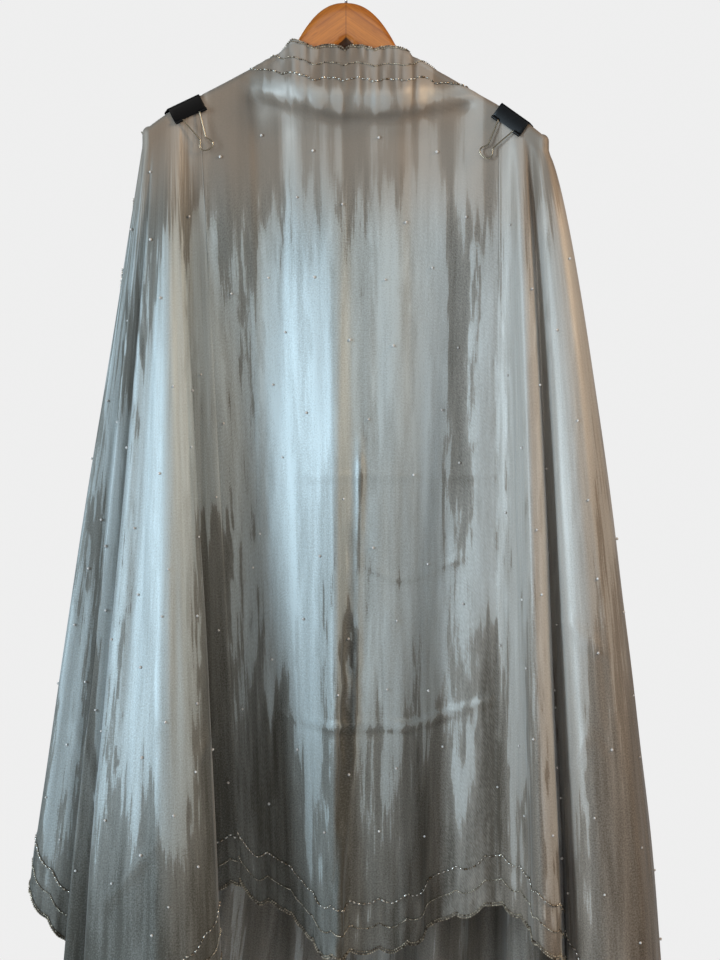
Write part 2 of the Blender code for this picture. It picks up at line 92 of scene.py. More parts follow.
def spline(rows: Sequence[Sequence[float]], count: int) -> np.ndarray:
    """Centripetal Catmull-Rom curve through rows of numbers, even in the length of the last two columns.

    Args:
        rows: The rows of a table, whose last two columns are a place in plan.
        count: How many points to give back.

    Returns:
        An array of count rows.
    """
    table = np.array(rows, float)
    ends = np.vstack([2 * table[0] - table[1], table, 2 * table[-1] - table[-2]])
    fine = []
    for p0, p1, p2, p3 in zip(ends, ends[1:], ends[2:], ends[3:]):
        gaps = [math.sqrt(np.linalg.norm((b - a)[-2:])) for a, b in ((p0, p1), (p1, p2), (p2, p3))]
        t0, t1, t2, t3 = (sum(gaps[:before]) for before in range(4))
        for t in np.linspace(t1, t2, 24, endpoint=False):
            a, b, c = between(p0, p1, t0, t1, t), between(p1, p2, t1, t2, t), between(p2, p3, t2, t3, t)
            fine.append(between(between(a, b, t0, t2, t), between(b, c, t1, t3, t), t1, t2, t))
    curve = np.array(fine + [table[-1]])
    along = curve_run(curve[:, -2:])
    shares = np.linspace(0, along[-1], count)
    return np.column_stack([np.interp(shares, along, column) for column in curve.T])


class SoftNoise:
    """Seeded smooth noise on a plane, from -1 to 1."""

    SIZE = 97

    def __init__(self, seed: int) -> None:
        """Fills the lattice from a seed."""
        self.lattice = np.random.default_rng(seed).uniform(-1, 1, (self.SIZE, self.SIZE))

    def at(self, across: np.ndarray, down: np.ndarray) -> np.ndarray:
        """Reads the noise.

        Args:
            across: First coordinates, in cells of the lattice.
            down: Second coordinates, in cells of the lattice.

        Returns:
            The noise at each pair of coordinates.
        """
        across, down = np.broadcast_arrays(across, down)
        column, row = np.floor(across).astype(int), np.floor(down).astype(int)
        u, v = smooth(across - column), smooth(down - row)
        c0, r0 = column % self.SIZE, row % self.SIZE
        c1, r1 = (column + 1) % self.SIZE, (row + 1) % self.SIZE
        upper = self.lattice[c0, r0] * (1 - u) + self.lattice[c1, r0] * u
        lower = self.lattice[c0, r1] * (1 - u) + self.lattice[c1, r1] * u
        return upper * (1 - v) + lower * v


@dataclass(frozen=True)
class Wave:
    """Soft noise of a strength, with its size across and down and its start on the lattice."""

    strength: float
    across: float
    down: float
    start: tuple[float, float] = (0, 0)

    def of(self, noise: SoftNoise, across: np.ndarray, down: np.ndarray) -> np.ndarray:
        """The wave at places in metres."""
        return self.strength * noise.at(across / self.across + self.start[0], down / self.down + self.start[1])


# ---------------------------------------------------------------- the hanger's form


@dataclass(frozen=True)
class HangerForm:
    """Line of the hanger's arms and the size of its wood."""

    thick: float = 0.0094
    height: float = 0.028
    end_x: float = 0.2235
    tip_x: float = 0.219
    tip_forward: float = 0.040
    ridge_top: float = -0.0785
    ridge_slope: float = 0.62
    tilt: float = 0.02
    shoulder_x: float = 0.180
    shoulder_drop: float = 0.006
    crown_top: float = -0.065
    crown_rise: float = 0.045
    crown_half: float = 0.055
    crown_power: float = 2.3
    wood_below_cloth: float = 0.0027
    crown_blend: float = 0.0012
    centre_drop: float = 0.008
    centre_half: float = 0.020
    roundness: float = 0.8
    least_tip: float = 0.02

    def ridge_z(self, x: np.ndarray) -> np.ndarray:
        """Height of the cloth where it passes over an arm at x."""
        beyond = np.clip((np.abs(x) - self.shoulder_x) / (self.tip_x - self.shoulder_x), 0, 2)
        return self.ridge_top - self.ridge_slope * np.abs(x) - self.tilt * x - self.shoulder_drop * beyond**2

    def arm_y(self, x: np.ndarray) -> np.ndarray:
        """Depth of the arm at x: the arms curve forward towards their tips."""
        return -self.tip_forward * (np.abs(x) / self.tip_x) ** 2

    def section(self, x: float, count: int) -> np.ndarray:
        """Rounded section of the wood at x.

        Args:
            x: Place along the arms.
            count: Points round the section.

        Returns:
            An array of count points.
        """
        into_tip = max(0.0, abs(x) - (self.end_x - self.thick)) / self.thick
        size = math.sqrt(max(self.least_tip, 1 - min(into_tip, 1.0) ** 2))
        arm = float(self.ridge_z(x)) - self.wood_below_cloth
        crown = self.crown_top - self.crown_rise * (abs(x) / self.crown_half) ** self.crown_power - self.tilt * x
        top = arm + self.crown_blend * math.log1p(math.exp(min((crown - arm) / self.crown_blend, 50.0)))
        bottom = arm - self.height - self.centre_drop * math.exp(-((x / self.centre_half) ** 2))
        middle, half = (top + bottom) / 2, (top - bottom) / 2 * size
        turns = 2 * np.pi * np.arange(count) / count
        c, s = np.cos(turns), np.sin(turns)
        across = np.sign(c) * np.abs(c) ** self.roundness * self.thick / 2 * size
        up = np.sign(s) * np.abs(s) ** self.roundness * half
        depth = float(self.arm_y(x))
        return np.column_stack([np.full(count, x), depth + across, middle + up])


HANGER = HangerForm()

# Wedge in the wood below the crown's seam: height of its top, and slope of its sides. The wood's colour is
# darkened in it as painted shade.
NOTCH_TOP = -0.1045
NOTCH_SLOPE = 0.9


# ---------------------------------------------------------------- the cloth's form

# Front panel, from left to right. flap: cloth behind the arm's ridge. slack: cloth taken up by the sag.
PANEL = (
    # top_x, flap, slack, hem_x, hem_y
    (-0.164, 0.165, 0.000, -0.122, 0.034),
    (-0.140, 0.117, 0.016, -0.103, 0.030),
    (-0.104, 0.052, 0.058, -0.078, 0.016),
    (-0.066, 0.010, 0.042, -0.050, -0.006),
    (-0.040, 0.000, 0.027, -0.028, -0.032),
    (-0.012, 0.000, 0.025, -0.010, -0.052),
    (0.010, 0.000, 0.027, 0.006, -0.028),
    (0.036, 0.000, 0.028, 0.034, -0.022),
    (0.066, 0.003, 0.029, 0.062, -0.012),
    (0.094, 0.030, 0.036, 0.084, 0.006),
    (0.130, 0.052, 0.060, 0.106, 0.022),
    (0.152, 0.090, 0.044, 0.136, 0.012),
    (0.172, 0.165, 0.000, 0.170, 0.002),
)

# Direction of the front cloth, in degrees forward of straight down, by distance from the ridge or neck edge
ARM_ANGLES = ((0, 90), (0.0122, 0), (0.03, 0), (1.1, 0))
NECK_ANGLES = (
    (0, 30), (0.03, 35), (0.056, 42), (0.068, 24), (0.080, -14), (0.095, -44), (0.112, -38), (0.135, -10),
    (0.2, 0), (1.1, 0),
)

# Folds outside the clips, from the panel round to the back. ring: place on the loop round the arm's end, 0 at
# the clip in front and 1 at the clip behind. angle: direction of the fold's ray on the flat cloth, in degrees.
FOLDS = {
    Side.LEFT: (
        # ring, angle, x, y
        (0.00, 0, -0.1220, 0.034), (0.08, 6, -0.186, 0.030), (0.13, 9, -0.206, -0.004), (0.17, 17, -0.136, -0.074),
        (0.24, 26, -0.196, -0.128), (0.30, 32, -0.246, -0.108), (0.34, 37, -0.284, -0.090),
        (0.38, 42, -0.244, -0.026), (0.42, 49, -0.316, -0.048), (0.46, 55, -0.280, 0.014),
        (0.50, 69, -0.374, 0.012), (0.58, 75, -0.352, 0.080), (0.70, 80, -0.286, 0.066), (0.85, 85, -0.262, 0.134),
        (1.00, 90, -0.218, 0.086),
    ),
    Side.RIGHT: (
        (0.00, 0, 0.1700, 0.002), (0.08, 3, 0.198, -0.030), (0.16, 9, 0.214, -0.104), (0.21, 12, 0.236, -0.090),
        (0.27, 17, 0.244, -0.022), (0.33, 22, 0.262, -0.094), (0.39, 26, 0.308, -0.104),
        (0.45, 30, 0.344, -0.066), (0.50, 34, 0.354, -0.018), (0.54, 39, 0.346, 0.052), (0.60, 44, 0.292, 0.046),
        (0.66, 49, 0.272, 0.126), (0.71, 54, 0.216, 0.074), (0.76, 59, 0.172, 0.142), (0.81, 64, 0.108, 0.094),
        (0.86, 69, 0.052, 0.152), (0.91, 74, -0.018, 0.104), (0.95, 80, -0.084, 0.148),
        (0.98, 85, -0.140, 0.106), (1.00, 90, -0.186, 0.140),
    ),
}


@dataclass(frozen=True)
class ClothForm:
    """The hung rectangle: points of its panel, its turned-over border and its falls."""

    width: float = 1.08
    clip_inset: float = 0.165
    clip_drop: float = 0.915
    border: float = 0.058
    over_radius: float = 0.0078
    clip_hug: float = 0.014
    neck_half: float = 0.077
    neck_blend: float = 0.02
    neck_lean_half: float = 0.080
    neck_fade: float = 0.075
    neck_return_flap: float = 0.062
    neck_edge_z: float = -0.116
    neck_tilt: float = 0.03
    slack_start: float = 0.06
    slack_ease: float = 0.70
    neck_clear: float = 0.0038
    panel_side_reach: float = 0.030
    fold_level: float = 0.90
    seam: float = 0.0003
    behind_flap: float = 0.0032
    behind_from: tuple[float, float] = (0.6, 0.2)
    flare_ring: float = 0.35
    steepest: float = 0.6
    tip_bend: float = 0.22
    late_share: float = 0.82
    late_reach: float = 0.40
    late_ease: float = 0.55
    corner_sharpness: float = 40.0
    far: float = 9.0
    step: float = 0.001
    longest: float = 1.16
    hem_forward: float = 0.012
    hem_ease: tuple[float, float] = (0.05, 0.25)

    def reach(self, side: Side) -> float:
        """Cloth from a clip to its end of the rectangle."""
        return 0.83 if side is Side.LEFT else 1.12

    def flare(self, side: Side) -> float:
        """How soon the outer folds of a side spread."""
        return 1.0 if side is Side.LEFT else 0.72

    def ring_place(self, side: Side, ring: np.ndarray) -> tuple[np.ndarray, np.ndarray]:
        """Ridge points and outward directions on the loop round an arm's end.

        Args:
            side: The arm.
            ring: Places on the loop, from 0 in front to 1 behind.

        Returns:
            Two arrays of points and directions.
        """
        clip_x = abs(PANEL[0][0] if side is Side.LEFT else PANEL[-1][0])
        before = 0.5 - self.tip_bend / 2
        straight = HANGER.tip_x - clip_x
        share = np.clip(np.minimum(ring, 1 - ring) / before, 0, 1)
        x = clip_x + straight * share
        turn = np.pi * np.clip((ring - before) / self.tip_bend, 0, 1)
        outward = np.stack([side.value * np.sin(turn), -np.cos(turn), np.zeros_like(turn)], axis=-1)
        signed = side.value * x
        return np.stack([signed, HANGER.arm_y(x), HANGER.ridge_z(signed)], axis=-1), outward

    def fall_points(self, side: Side, fold: np.ndarray, down: np.ndarray) -> np.ndarray:
        """Points of a fall.

        Args:
            side: The side it hangs on.
            fold: ring, x and y of each column.
            down: Distances down the rays, rows by columns.

        Returns:
            Points, rows by columns by 3.
        """
        ring = fold[:, 0]
        ridge, outward = self.ring_place(side, ring)
        quarter = self.over_radius * math.pi / 2
        turn = np.minimum(down / self.over_radius, math.pi / 2)
        hang = np.maximum(0, down - quarter)
        behind = self.behind_flap * rise(ring, *self.behind_from)
        lift = self.over_radius * np.sin(turn) + (self.seam + behind) * np.ones_like(turn)
        base = ridge[None] + outward[None] * lift[..., None]
        drop = self.over_radius * (1 - np.cos(turn))
        share = np.maximum(0, hang - self.clip_hug) / self.fold_level
        late = np.maximum(0, share - self.late_share)
        power = 1 - (1 - self.flare(side)) * smooth(ring / self.flare_ring)
        eased = np.minimum(late, self.late_reach)
        flare = share ** power[None] - self.late_ease * eased * (2 * late - eased)
        spread = fold[None, :, 1:] - base[..., :2]
        slant = np.minimum(np.linalg.norm(spread, axis=-1) / self.fold_level, self.steepest)
        place = base[..., :2] + spread * flare[..., None]
        z = ridge[None, :, 2] - drop - hang * np.sqrt(1 - slant**2)
        return np.concatenate([place, z[..., None]], axis=-1)

    def ray_length(self, side: Side, angle: np.ndarray) -> np.ndarray:
        """Length of rays from the clip to the rectangle's edge, with its corners rounded.

        Args:
            side: The side of the falls.
            angle: Directions of the rays on the flat cloth, in radians.

        Returns:
            The length of each ray.
        """
        to_hem = np.minimum(self.far, self.clip_drop / np.maximum(np.cos(angle), 1e-6))
        to_end = np.minimum(self.far, self.reach(side) / np.maximum(np.sin(angle), 1e-6))
        total = np.exp(-self.corner_sharpness * to_hem) + np.exp(-self.corner_sharpness * to_end)
        return -np.log(total) / self.corner_sharpness

    def panel_points(self, column: np.ndarray, v: np.ndarray) -> np.ndarray:
        """Points of the front panel and of the border turned over behind the arms.

        Args:
            column: top_x, flap, slack, hem_x and hem_y of each column.
            v: Distances from the cloth's top edge, rows by columns.

        Returns:
            Points, rows by columns by 3.
        """
        points = np.empty(v.shape + (3,))
        fine = np.arange(0, self.longest, self.step)
        middle = (fine[:-1] + fine[1:]) / 2
        arm_table, neck_table = np.array(ARM_ANGLES, float), np.array(NECK_ANGLES, float)
        over = np.radians(np.interp(middle, arm_table[:, 0], arm_table[:, 1]))
        quarter = self.over_radius * math.pi / 2
        for index, (top_x, flap, slack, hem_x, hem_y) in enumerate(column):
            q = v[:, index] - flap
            neck = 1 - float(smooth((abs(top_x) - self.neck_lean_half) / self.neck_fade))
            stand = float(smooth((self.neck_half - abs(top_x)) / self.neck_blend))
            gather = np.radians(np.interp(middle + flap, neck_table[:, 0], neck_table[:, 1]))
            returning = max(0.0, 1 - flap / self.neck_return_flap)
            angles = neck * np.where(gather < 0, gather * returning, gather) + (1 - neck) * over
            angles = np.where(middle < ARM_ANGLES[1][0], stand * angles + (1 - stand) * over, angles)
            arm_y, ridge_z = float(HANGER.arm_y(top_x)), float(HANGER.ridge_z(top_x))
            start_y = (1 - stand) * arm_y - stand * (HANGER.thick / 2 + self.neck_clear)
            start_z = (1 - stand) * ridge_z + stand * (self.neck_edge_z - self.neck_tilt * top_x)
            forward = np.concatenate([[0], np.cumsum(np.sin(angles) * self.step)])
            fallen = np.concatenate([[0], np.cumsum(np.cos(angles) * self.step)])
            front = np.maximum(q, 0)
            share = front / (self.width - flap)
            taken_up = slack * rise(front, self.slack_start, self.slack_ease)
            z = start_z - np.interp(front, fine, fallen) + taken_up
            y = start_y - np.interp(front, fine, forward)
            y += (hem_y - start_y + self.hem_forward) * rise(front, *self.hem_ease) * share
            x = top_x + (hem_x - top_x) * share
            back = np.maximum(-q, 0)
            turn = np.minimum(back / self.over_radius, math.pi / 2)
            rest = np.maximum(0, back - quarter)
            y = np.where(q < 0, start_y + (1 - stand) * self.over_radius * np.sin(turn), y)
            behind_z = start_z + stand * back - (1 - stand) * (self.over_radius * (1 - np.cos(turn)) + rest)
            z = np.where(q < 0, behind_z, z)
            points[:, index] = np.stack([x, y, z], axis=-1)
        for side, edge in ((Side.LEFT, PANEL[0]), (Side.RIGHT, PANEL[-1])):
            weight = smooth(1 - np.abs(column[:, 0] - edge[0]) / self.panel_side_reach)
            near = np.flatnonzero(weight > 0)
            if not len(near) or len(column) == 1:
                continue
            q = np.maximum(v[:, near] - column[near, 1], 0)
            _, _, fold_x, fold_y = FOLDS[side][0]
            seam = self.fall_points(side, np.tile([0.0, fold_x, fold_y], (len(near), 1)), q)
            edges = np.array([edge], float)
            for place, index in enumerate(near):
                plain = self.panel_points(edges, (q[:, place] + edge[1])[:, None])[:, 0]
                points[:, index] += (seam[:, place] - plain) * weight[index]
        return points


CLOTH = ClothForm()


# ---------------------------------------------------------------- places seen from the front

# The camera's aim and distance, metres in a picture's unit, and the place of the crown's top in the picture
VIEW_TARGET = Vector((0.01603, 0.0, -0.6112))
VIEW_DISTANCE = 1.75
PIXEL = 0.001145
CROWN_PLACE = (346, 3)


def picture_place(px: float, py: float) -> tuple[float, float]:
    """x and z on the hanger's plane of a place in the picture's frame."""
    return (px - CROWN_PLACE[0]) * PIXEL, HANGER.crown_top - (py - CROWN_PLACE[1]) * PIXEL


def seen_from_front(points: np.ndarray) -> np.ndarray:
    """x and z at which points appear on the hanger's plane, seen from the camera's place.

    Args:
        points: Points, with x, y and z on the last axis.

    Returns:
        The same array with x and z on the last axis.
    """
    middle = np.array([VIEW_TARGET.x, VIEW_TARGET.z])
    scale = VIEW_DISTANCE / (VIEW_DISTANCE + points[..., 1:2])
    return middle + (points[..., [0, 2]] - middle) * scale


# A Crease also lays lines of painted highlight and painted shade, where height is an amount of painted sheen
@dataclass(frozen=True)
class Crease:
    """A soft crease along a line: a ridge where height is above 0, and a trough where it is below."""

    line: tuple[tuple[float, float], ...]
    height: float
    width: float
    behind: bool = False
    fade: float = 0.02
    pitch: float = 0.022
    least: float = 0.75
    stray: float = 0.45
    start: tuple[float, float] = (40, 700)

    def shift(self, seen: np.ndarray, facing: np.ndarray, noise: SoftNoise) -> np.ndarray:
        """How far the crease moves the cloth out, or how much painted sheen it lays.

        Args:
            seen: x and z of each point as seen from the front.
            facing: 1 where the cloth faces the front, 0 where it faces back.
            noise: Makes the crease uneven along its length.

        Returns:
            The shift of each point.
        """
        best = np.full(seen.shape[:-1], 1e9)
        along = np.zeros(seen.shape[:-1])
        places = [np.array(picture_place(*point)) for point in self.line]
        run = 0.0
        for a, b in zip(places, places[1:]):
            length = float(np.linalg.norm(b - a))
            t = np.clip(((seen - a) @ (b - a)) / length**2, 0, 1)
            distance = np.linalg.norm(seen - a - t[..., None] * (b - a), axis=-1)
            along = np.where(distance < best, run + t * length, along)
            best = np.minimum(best, distance)
            run += length
        ends = smooth(along / self.fade) * smooth((run - along) / self.fade)
        across, down = self.start
        uneven = noise.at(along / self.pitch + run * across, along * 0 + self.width * down)
        mask = 1 - facing if self.behind else facing
        return self.height * np.exp(-((best / self.width) ** 2)) * ends * (self.least + self.stray * uneven) * mask


# Main creases, by places in the picture's frame
CREASES = (
    Crease(((360, 430), (360, 479), (357, 640), (353, 722), (348, 783), (340, 885), (339, 954)), 0.0044, 0.0042),
    Crease(((349, 520), (348, 640), (345, 722), (341, 800), (335, 900)), -0.0042, 0.0055),
    Crease(
        ((273, 703), (290, 718), (330, 727), (345, 726), (360, 722), (410, 724), (450, 711), (500, 698)), 0.0030,
        0.0038,
    ),
    Crease(((275, 711), (330, 734), (410, 731), (460, 717)), -0.0022, 0.0046),
    Crease(((297, 479), (360, 476), (430, 478), (505, 477)), 0.0010, 0.0040),
    Crease(((362, 565), (391, 580), (407, 580), (444, 567), (470, 555)), 0.0013, 0.0042),
    Crease(((372, 772), (392, 776), (414, 773)), 0.0010, 0.0040),
    Crease(((248, 640), (262, 690), (280, 742), (300, 800)), 0.0015, 0.0070),
    Crease(((392, 600), (388, 680), (396, 760), (392, 850)), 0.0014, 0.0080),
    Crease(((440, 470), (446, 560), (440, 660), (452, 760)), -0.0018, 0.0090),
    Crease(((224, 701), (210, 735), (196, 770)), 0.0020, 0.0060),
    Crease(((100, 911), (133, 872), (165, 834)), 0.0024, 0.0070),
    Crease(((568, 777), (580, 750), (593, 724)), 0.0022, 0.0060),
    Crease(((595, 726), (604, 742), (615, 760)), -0.0018, 0.0060),
    Crease(((560, 610), (585, 640), (612, 655)), 0.0016, 0.0070),
    Crease(((70, 720), (90, 765), (96, 815)), 0.0018, 0.0080),
    Crease(((250, 640), (330, 668), (420, 655), (500, 672)), 0.0020, 0.0060, behind=True),
    Crease(((330, 300), (338, 480), (330, 700), (340, 900)), 0.0030, 0.0070, behind=True),
    Crease(((420, 820), (480, 850), (560, 840)), -0.0020, 0.0070, behind=True),
    Crease(((560, 420), (590, 560), (585, 700)), 0.0022, 0.0080, behind=True),
    Crease(((90, 600), (120, 660), (135, 740)), 0.0020, 0.0080, behind=True),
)

# Soft edge of the sag under the neck's border, with its shadow below it
COLLAR_CREASES = (
    Crease(((236, 84), (262, 90), (300, 101), (345, 111), (400, 108), (450, 101), (480, 94)), 0.0030, 0.0052),
    Crease(((240, 100), (300, 113), (345, 122), (400, 119), (450, 112), (480, 104)), -0.0022, 0.0060),
)
# Painted highlight along the sag's edge, and painted shadow below it, added to the silk's painted sheen
COLLAR_SHEEN = Crease(((240, 84), (300, 92), (345, 99), (400, 98), (450, 93), (478, 91)), 0.15, 0.0095)
COLLAR_SHADE = Crease(((240, 97), (300, 110), (345, 120), (400, 117), (450, 109), (482, 102)), -0.20, 0.0065)
# Painted highlights and painted shade along the ironed creases, added to the silk's painted sheen
PAINTED_CREASE_SHADING = (
    Crease(((360, 440), (360, 479), (357, 640), (353, 722), (348, 783), (340, 885), (339, 954)), -0.42, 0.0030),
    Crease(((365, 500), (362, 640), (358, 722), (352, 800)), 0.16, 0.0035),
    Crease(
        ((273, 703), (290, 716), (330, 725), (345, 724), (360, 720), (410, 722), (450, 709), (500, 696)), 0.22,
        0.0026,
    ),
    Crease(((275, 712), (330, 734), (410, 731), (460, 717)), -0.20, 0.0035),
    Crease(((297, 481), (360, 478), (430, 480), (505, 479)), -0.12, 0.0030),
    Crease(((362, 567), (391, 582), (407, 582), (444, 569), (470, 557)), -0.14, 0.0030),
)


@dataclass(frozen=True)
class Streak:
    """A band of painted sheen, or of painted shade where its strength is below 0, down the cloth, by places in the
    picture's frame.
    """

    top: tuple[float, float]
    low: tuple[float, float]
    width: float
    strength: float


# Bands of painted sheen, and of painted shade where the strength is below 0
STREAKS = (
    Streak((198, 215), (214, 420), 15, 0.75), Streak((272, 225), (268, 420), 9, 0.8),
    Streak((285, 280), (282, 700), 14, 0.6), Streak((250, 260), (246, 640), 9, -0.25),
    Streak((320, 235), (322, 470), 13, 0.75), Streak((330, 470), (325, 640), 8, -0.3),
    Streak((305, 560), (318, 900), 13, 0.6), Streak((345, 150), (352, 330), 7, -0.3),
    Streak((388, 215), (392, 440), 14, 0.8), Streak((370, 390), (369, 600), 6, -0.35),
    Streak((396, 600), (400, 880), 16, 0.45), Streak((432, 90), (440, 200), 30, 0.5),
    Streak((424, 260), (418, 520), 9, 0.4), Streak((462, 220), (458, 560), 15, -0.55),
    Streak((487, 250), (485, 620), 8, 0.5), Streak((440, 560), (436, 700), 10, 0.4),
    Streak((465, 740), (462, 850), 14, 0.7), Streak((492, 640), (492, 860), 10, -0.6),
    Streak((265, 700), (258, 850), 16, -0.6), Streak((346, 620), (341, 930), 5, -0.9),
    Streak((372, 620), (366, 720), 9, 0.6), Streak((424, 760), (420, 900), 9, -0.4),
    Streak((172, 240), (172, 960), 17, 0.55), Streak((213, 520), (222, 900), 17, -0.65),
    Streak((160, 180), (152, 360), 8, -0.5), Streak((120, 420), (98, 960), 12, 0.45),
    Streak((136, 300), (112, 800), 7, -0.5), Streak((100, 500), (80, 900), 7, -0.4),
    Streak((82, 600), (48, 940), 16, 0.35), Streak((520, 240), (516, 900), 10, 0.5),
    Streak((541, 220), (554, 960), 7, 0.7), Streak((556, 260), (578, 960), 14, 0.5),
    Streak((575, 260), (640, 960), 30, -0.25), Streak((504, 300), (500, 700), 5, 0.6),
)


@dataclass(frozen=True)
class Pool:
    """A broad pool of painted sheen, or of painted shade where its strength is below 0, by its middle and half
    sizes in the picture's frame.
    """

    middle: tuple[float, float]
    half: tuple[float, float]
    strength: float

    def tone(self, x: np.ndarray, z: np.ndarray) -> np.ndarray:
        """How much the pool adds at each point.

        Args:
            x: Place of each point across, as seen from the front.
            z: Its height, as seen from the front.

        Returns:
            The painted sheen that each point gains.
        """
        px, pz = picture_place(*self.middle)
        across, down = self.half[0] * PIXEL, self.half[1] * PIXEL
        return self.strength * np.exp(-(((x - px) / across) ** 2) - ((z - pz) / down) ** 2)


# Broad pools of painted sheen, and of painted shade where the strength is below 0
POOLS = (
    Pool((285, 470), (75, 210), 0.30), Pool((375, 410), (60, 240), 0.28), Pool((450, 350), (65, 240), 0.32),
    Pool((185, 240), (35, 80), -0.14), Pool((135, 560), (55, 240), 0.30), Pool((180, 330), (40, 150), 0.12),
    Pool((572, 360), (45, 230), 0.36), Pool((572, 640), (40, 160), 0.24), Pool((120, 930), (150, 80), -0.30),
    Pool((450, 840), (80, 110), -0.12), Pool((280, 850), (60, 90), -0.08), Pool((440, 620), (70, 120), 0.12),
    Pool((165, 740), (30, 150), 0.14),
)


@dataclass(frozen=True)
class Sheen:
    """Painted sheen and shade, lustre and painted light tint of the silk, by where its points are seen from the
    front.
    """

    streak_core: float = 0.7
    streak_soft: float = 0.5
    ragged: tuple[Wave, ...] = (Wave(0.006, 0.0035, 0.05), Wave(0.004, 0.0022, 0.022, (9, 0)))
    late: Wave = Wave(0.045, 0.0045, 1.0, (31, 5))
    plain: tuple[Wave, ...] = (Wave(0.30, 0.024, 0.5, (50, 0)), Wave(0.16, 0.008, 0.22, (70, 0)))
    # Base of the painted sheen, and how its streaks add to it and fade in and out
    base: float = 0.40
    streak_gain: float = 0.42
    streak_start: float = 0.05
    streak_stop: float = 0.07
    streak_overlap: float = 0.02
    # Over the arms the painted sheen gives way to a flat value, painted darker to the left as shade
    calm: float = 0.85
    calm_end: tuple[float, float] = (0.24, 0.10)
    calm_tone: float = 0.49
    calm_slope: float = 0.40
    # Painted shade, darker towards the bottom, and how much less the random variation shows on the front
    low_loss: float = 0.13
    low_start: tuple[float, float] = (0.75, 0.55)
    plain_loss: float = 0.6
    # Painted light tint: warm to the right and at the top, icy to the left, and halfway on the back
    warm_base: float = 0.10
    warm_across: float = 0.75
    warm_high: float = 0.85
    warm_back: float = 0.45
    warm_from: tuple[float, float] = (-0.02, 0.26)
    warm_above: tuple[float, float] = (0.20, 0.16)

    def tone(self, seen: np.ndarray, facing: np.ndarray, noise: SoftNoise) -> np.ndarray:
        """Painted sheen and shade at each point: 1 where it is painted bright, 0 where it is painted dark.

        Args:
            seen: x and z of each point as seen from the front.
            facing: 1 where the cloth faces the front, 0 where it faces back.
            noise: Makes the edges of the streaks ragged.

        Returns:
            The painted sheen and shade of each point.
        """
        x, z = seen[..., 0], seen[..., 1]
        ragged = sum(wave.of(noise, x, z) for wave in self.ragged)
        late = self.late.of(noise, x, z * 0)
        tone = np.full(x.shape, self.base)
        for pool in POOLS:
            tone = tone + pool.tone(x, z) * facing
        for streak in STREAKS:
            (ax, az), (bx, bz) = picture_place(*streak.top), picture_place(*streak.low)
            middle = ax + (bx - ax) * np.clip((az - z) / (az - bz), -0.1, 1.1)
            core, soft = (share * streak.width * PIXEL for share in (self.streak_core, self.streak_soft))
            across = 1 - smooth((np.abs(x - middle) + ragged - core) / soft)
            start = smooth((az + late + self.streak_overlap - z) / self.streak_start)
            stop = smooth((z - bz - late + self.streak_overlap) / self.streak_stop)
            tone = tone + streak.strength * self.streak_gain * across * start * stop * facing
        calm = self.lustre(seen, facing)
        # Painted shade: a flat value over the arms, darker to the left, and the front darker towards the bottom
        flat = self.calm_tone + self.calm_slope * np.clip(x, -0.2, 0.1)
        tone = tone * calm + flat * (1 - calm) - self.low_loss * rise(-z, *self.low_start) * facing
        plain = sum(wave.of(noise, x, z) for wave in self.plain)
        return np.clip(tone + plain * (1 - self.plain_loss * facing), 0, 1)

    def lustre(self, seen: np.ndarray, facing: np.ndarray) -> np.ndarray:
        """How freely the painted sheen and the cloth's grain break up: little over the arms, where the cloth lies
        flat.
        """
        return 1 - self.calm * facing * (1 - rise(-seen[..., 1], *self.calm_end))

    def painted_light_tint(self, seen: np.ndarray, facing: np.ndarray) -> np.ndarray:
        """Painted light tint at each point: 0 is the icy tint of the cool light, and 1 is taupe.

        Args:
            seen: x and z of each point as seen from the front.
            facing: 1 where the cloth faces the front, 0 where it faces back.

        Returns:
            The painted light tint of each point.
        """
        across, high = rise(seen[..., 0], *self.warm_from), 1 - rise(-seen[..., 1], *self.warm_above)
        front = np.clip(self.warm_base + self.warm_across * across + self.warm_high * high, 0, 1)
        return front * facing + self.warm_back * (1 - facing)


SHEEN = Sheen()


# ---------------------------------------------------------------- grids of cloth


@dataclass
class Stretch:
    """Plain form of a stretch of cloth, with what is known of each point, in rows by columns."""

    points: np.ndarray
    place: np.ndarray
    q: np.ndarray
    top: np.ndarray
    inset: np.ndarray
    along: np.ndarray

    def picked(self, columns: slice | list[int]) -> "Stretch":
        """The stretch with only some columns, in the order given."""
        parts = (self.points, self.place, self.q, self.top, self.inset, self.along)
        return Stretch(*(part[:, columns] for part in parts))


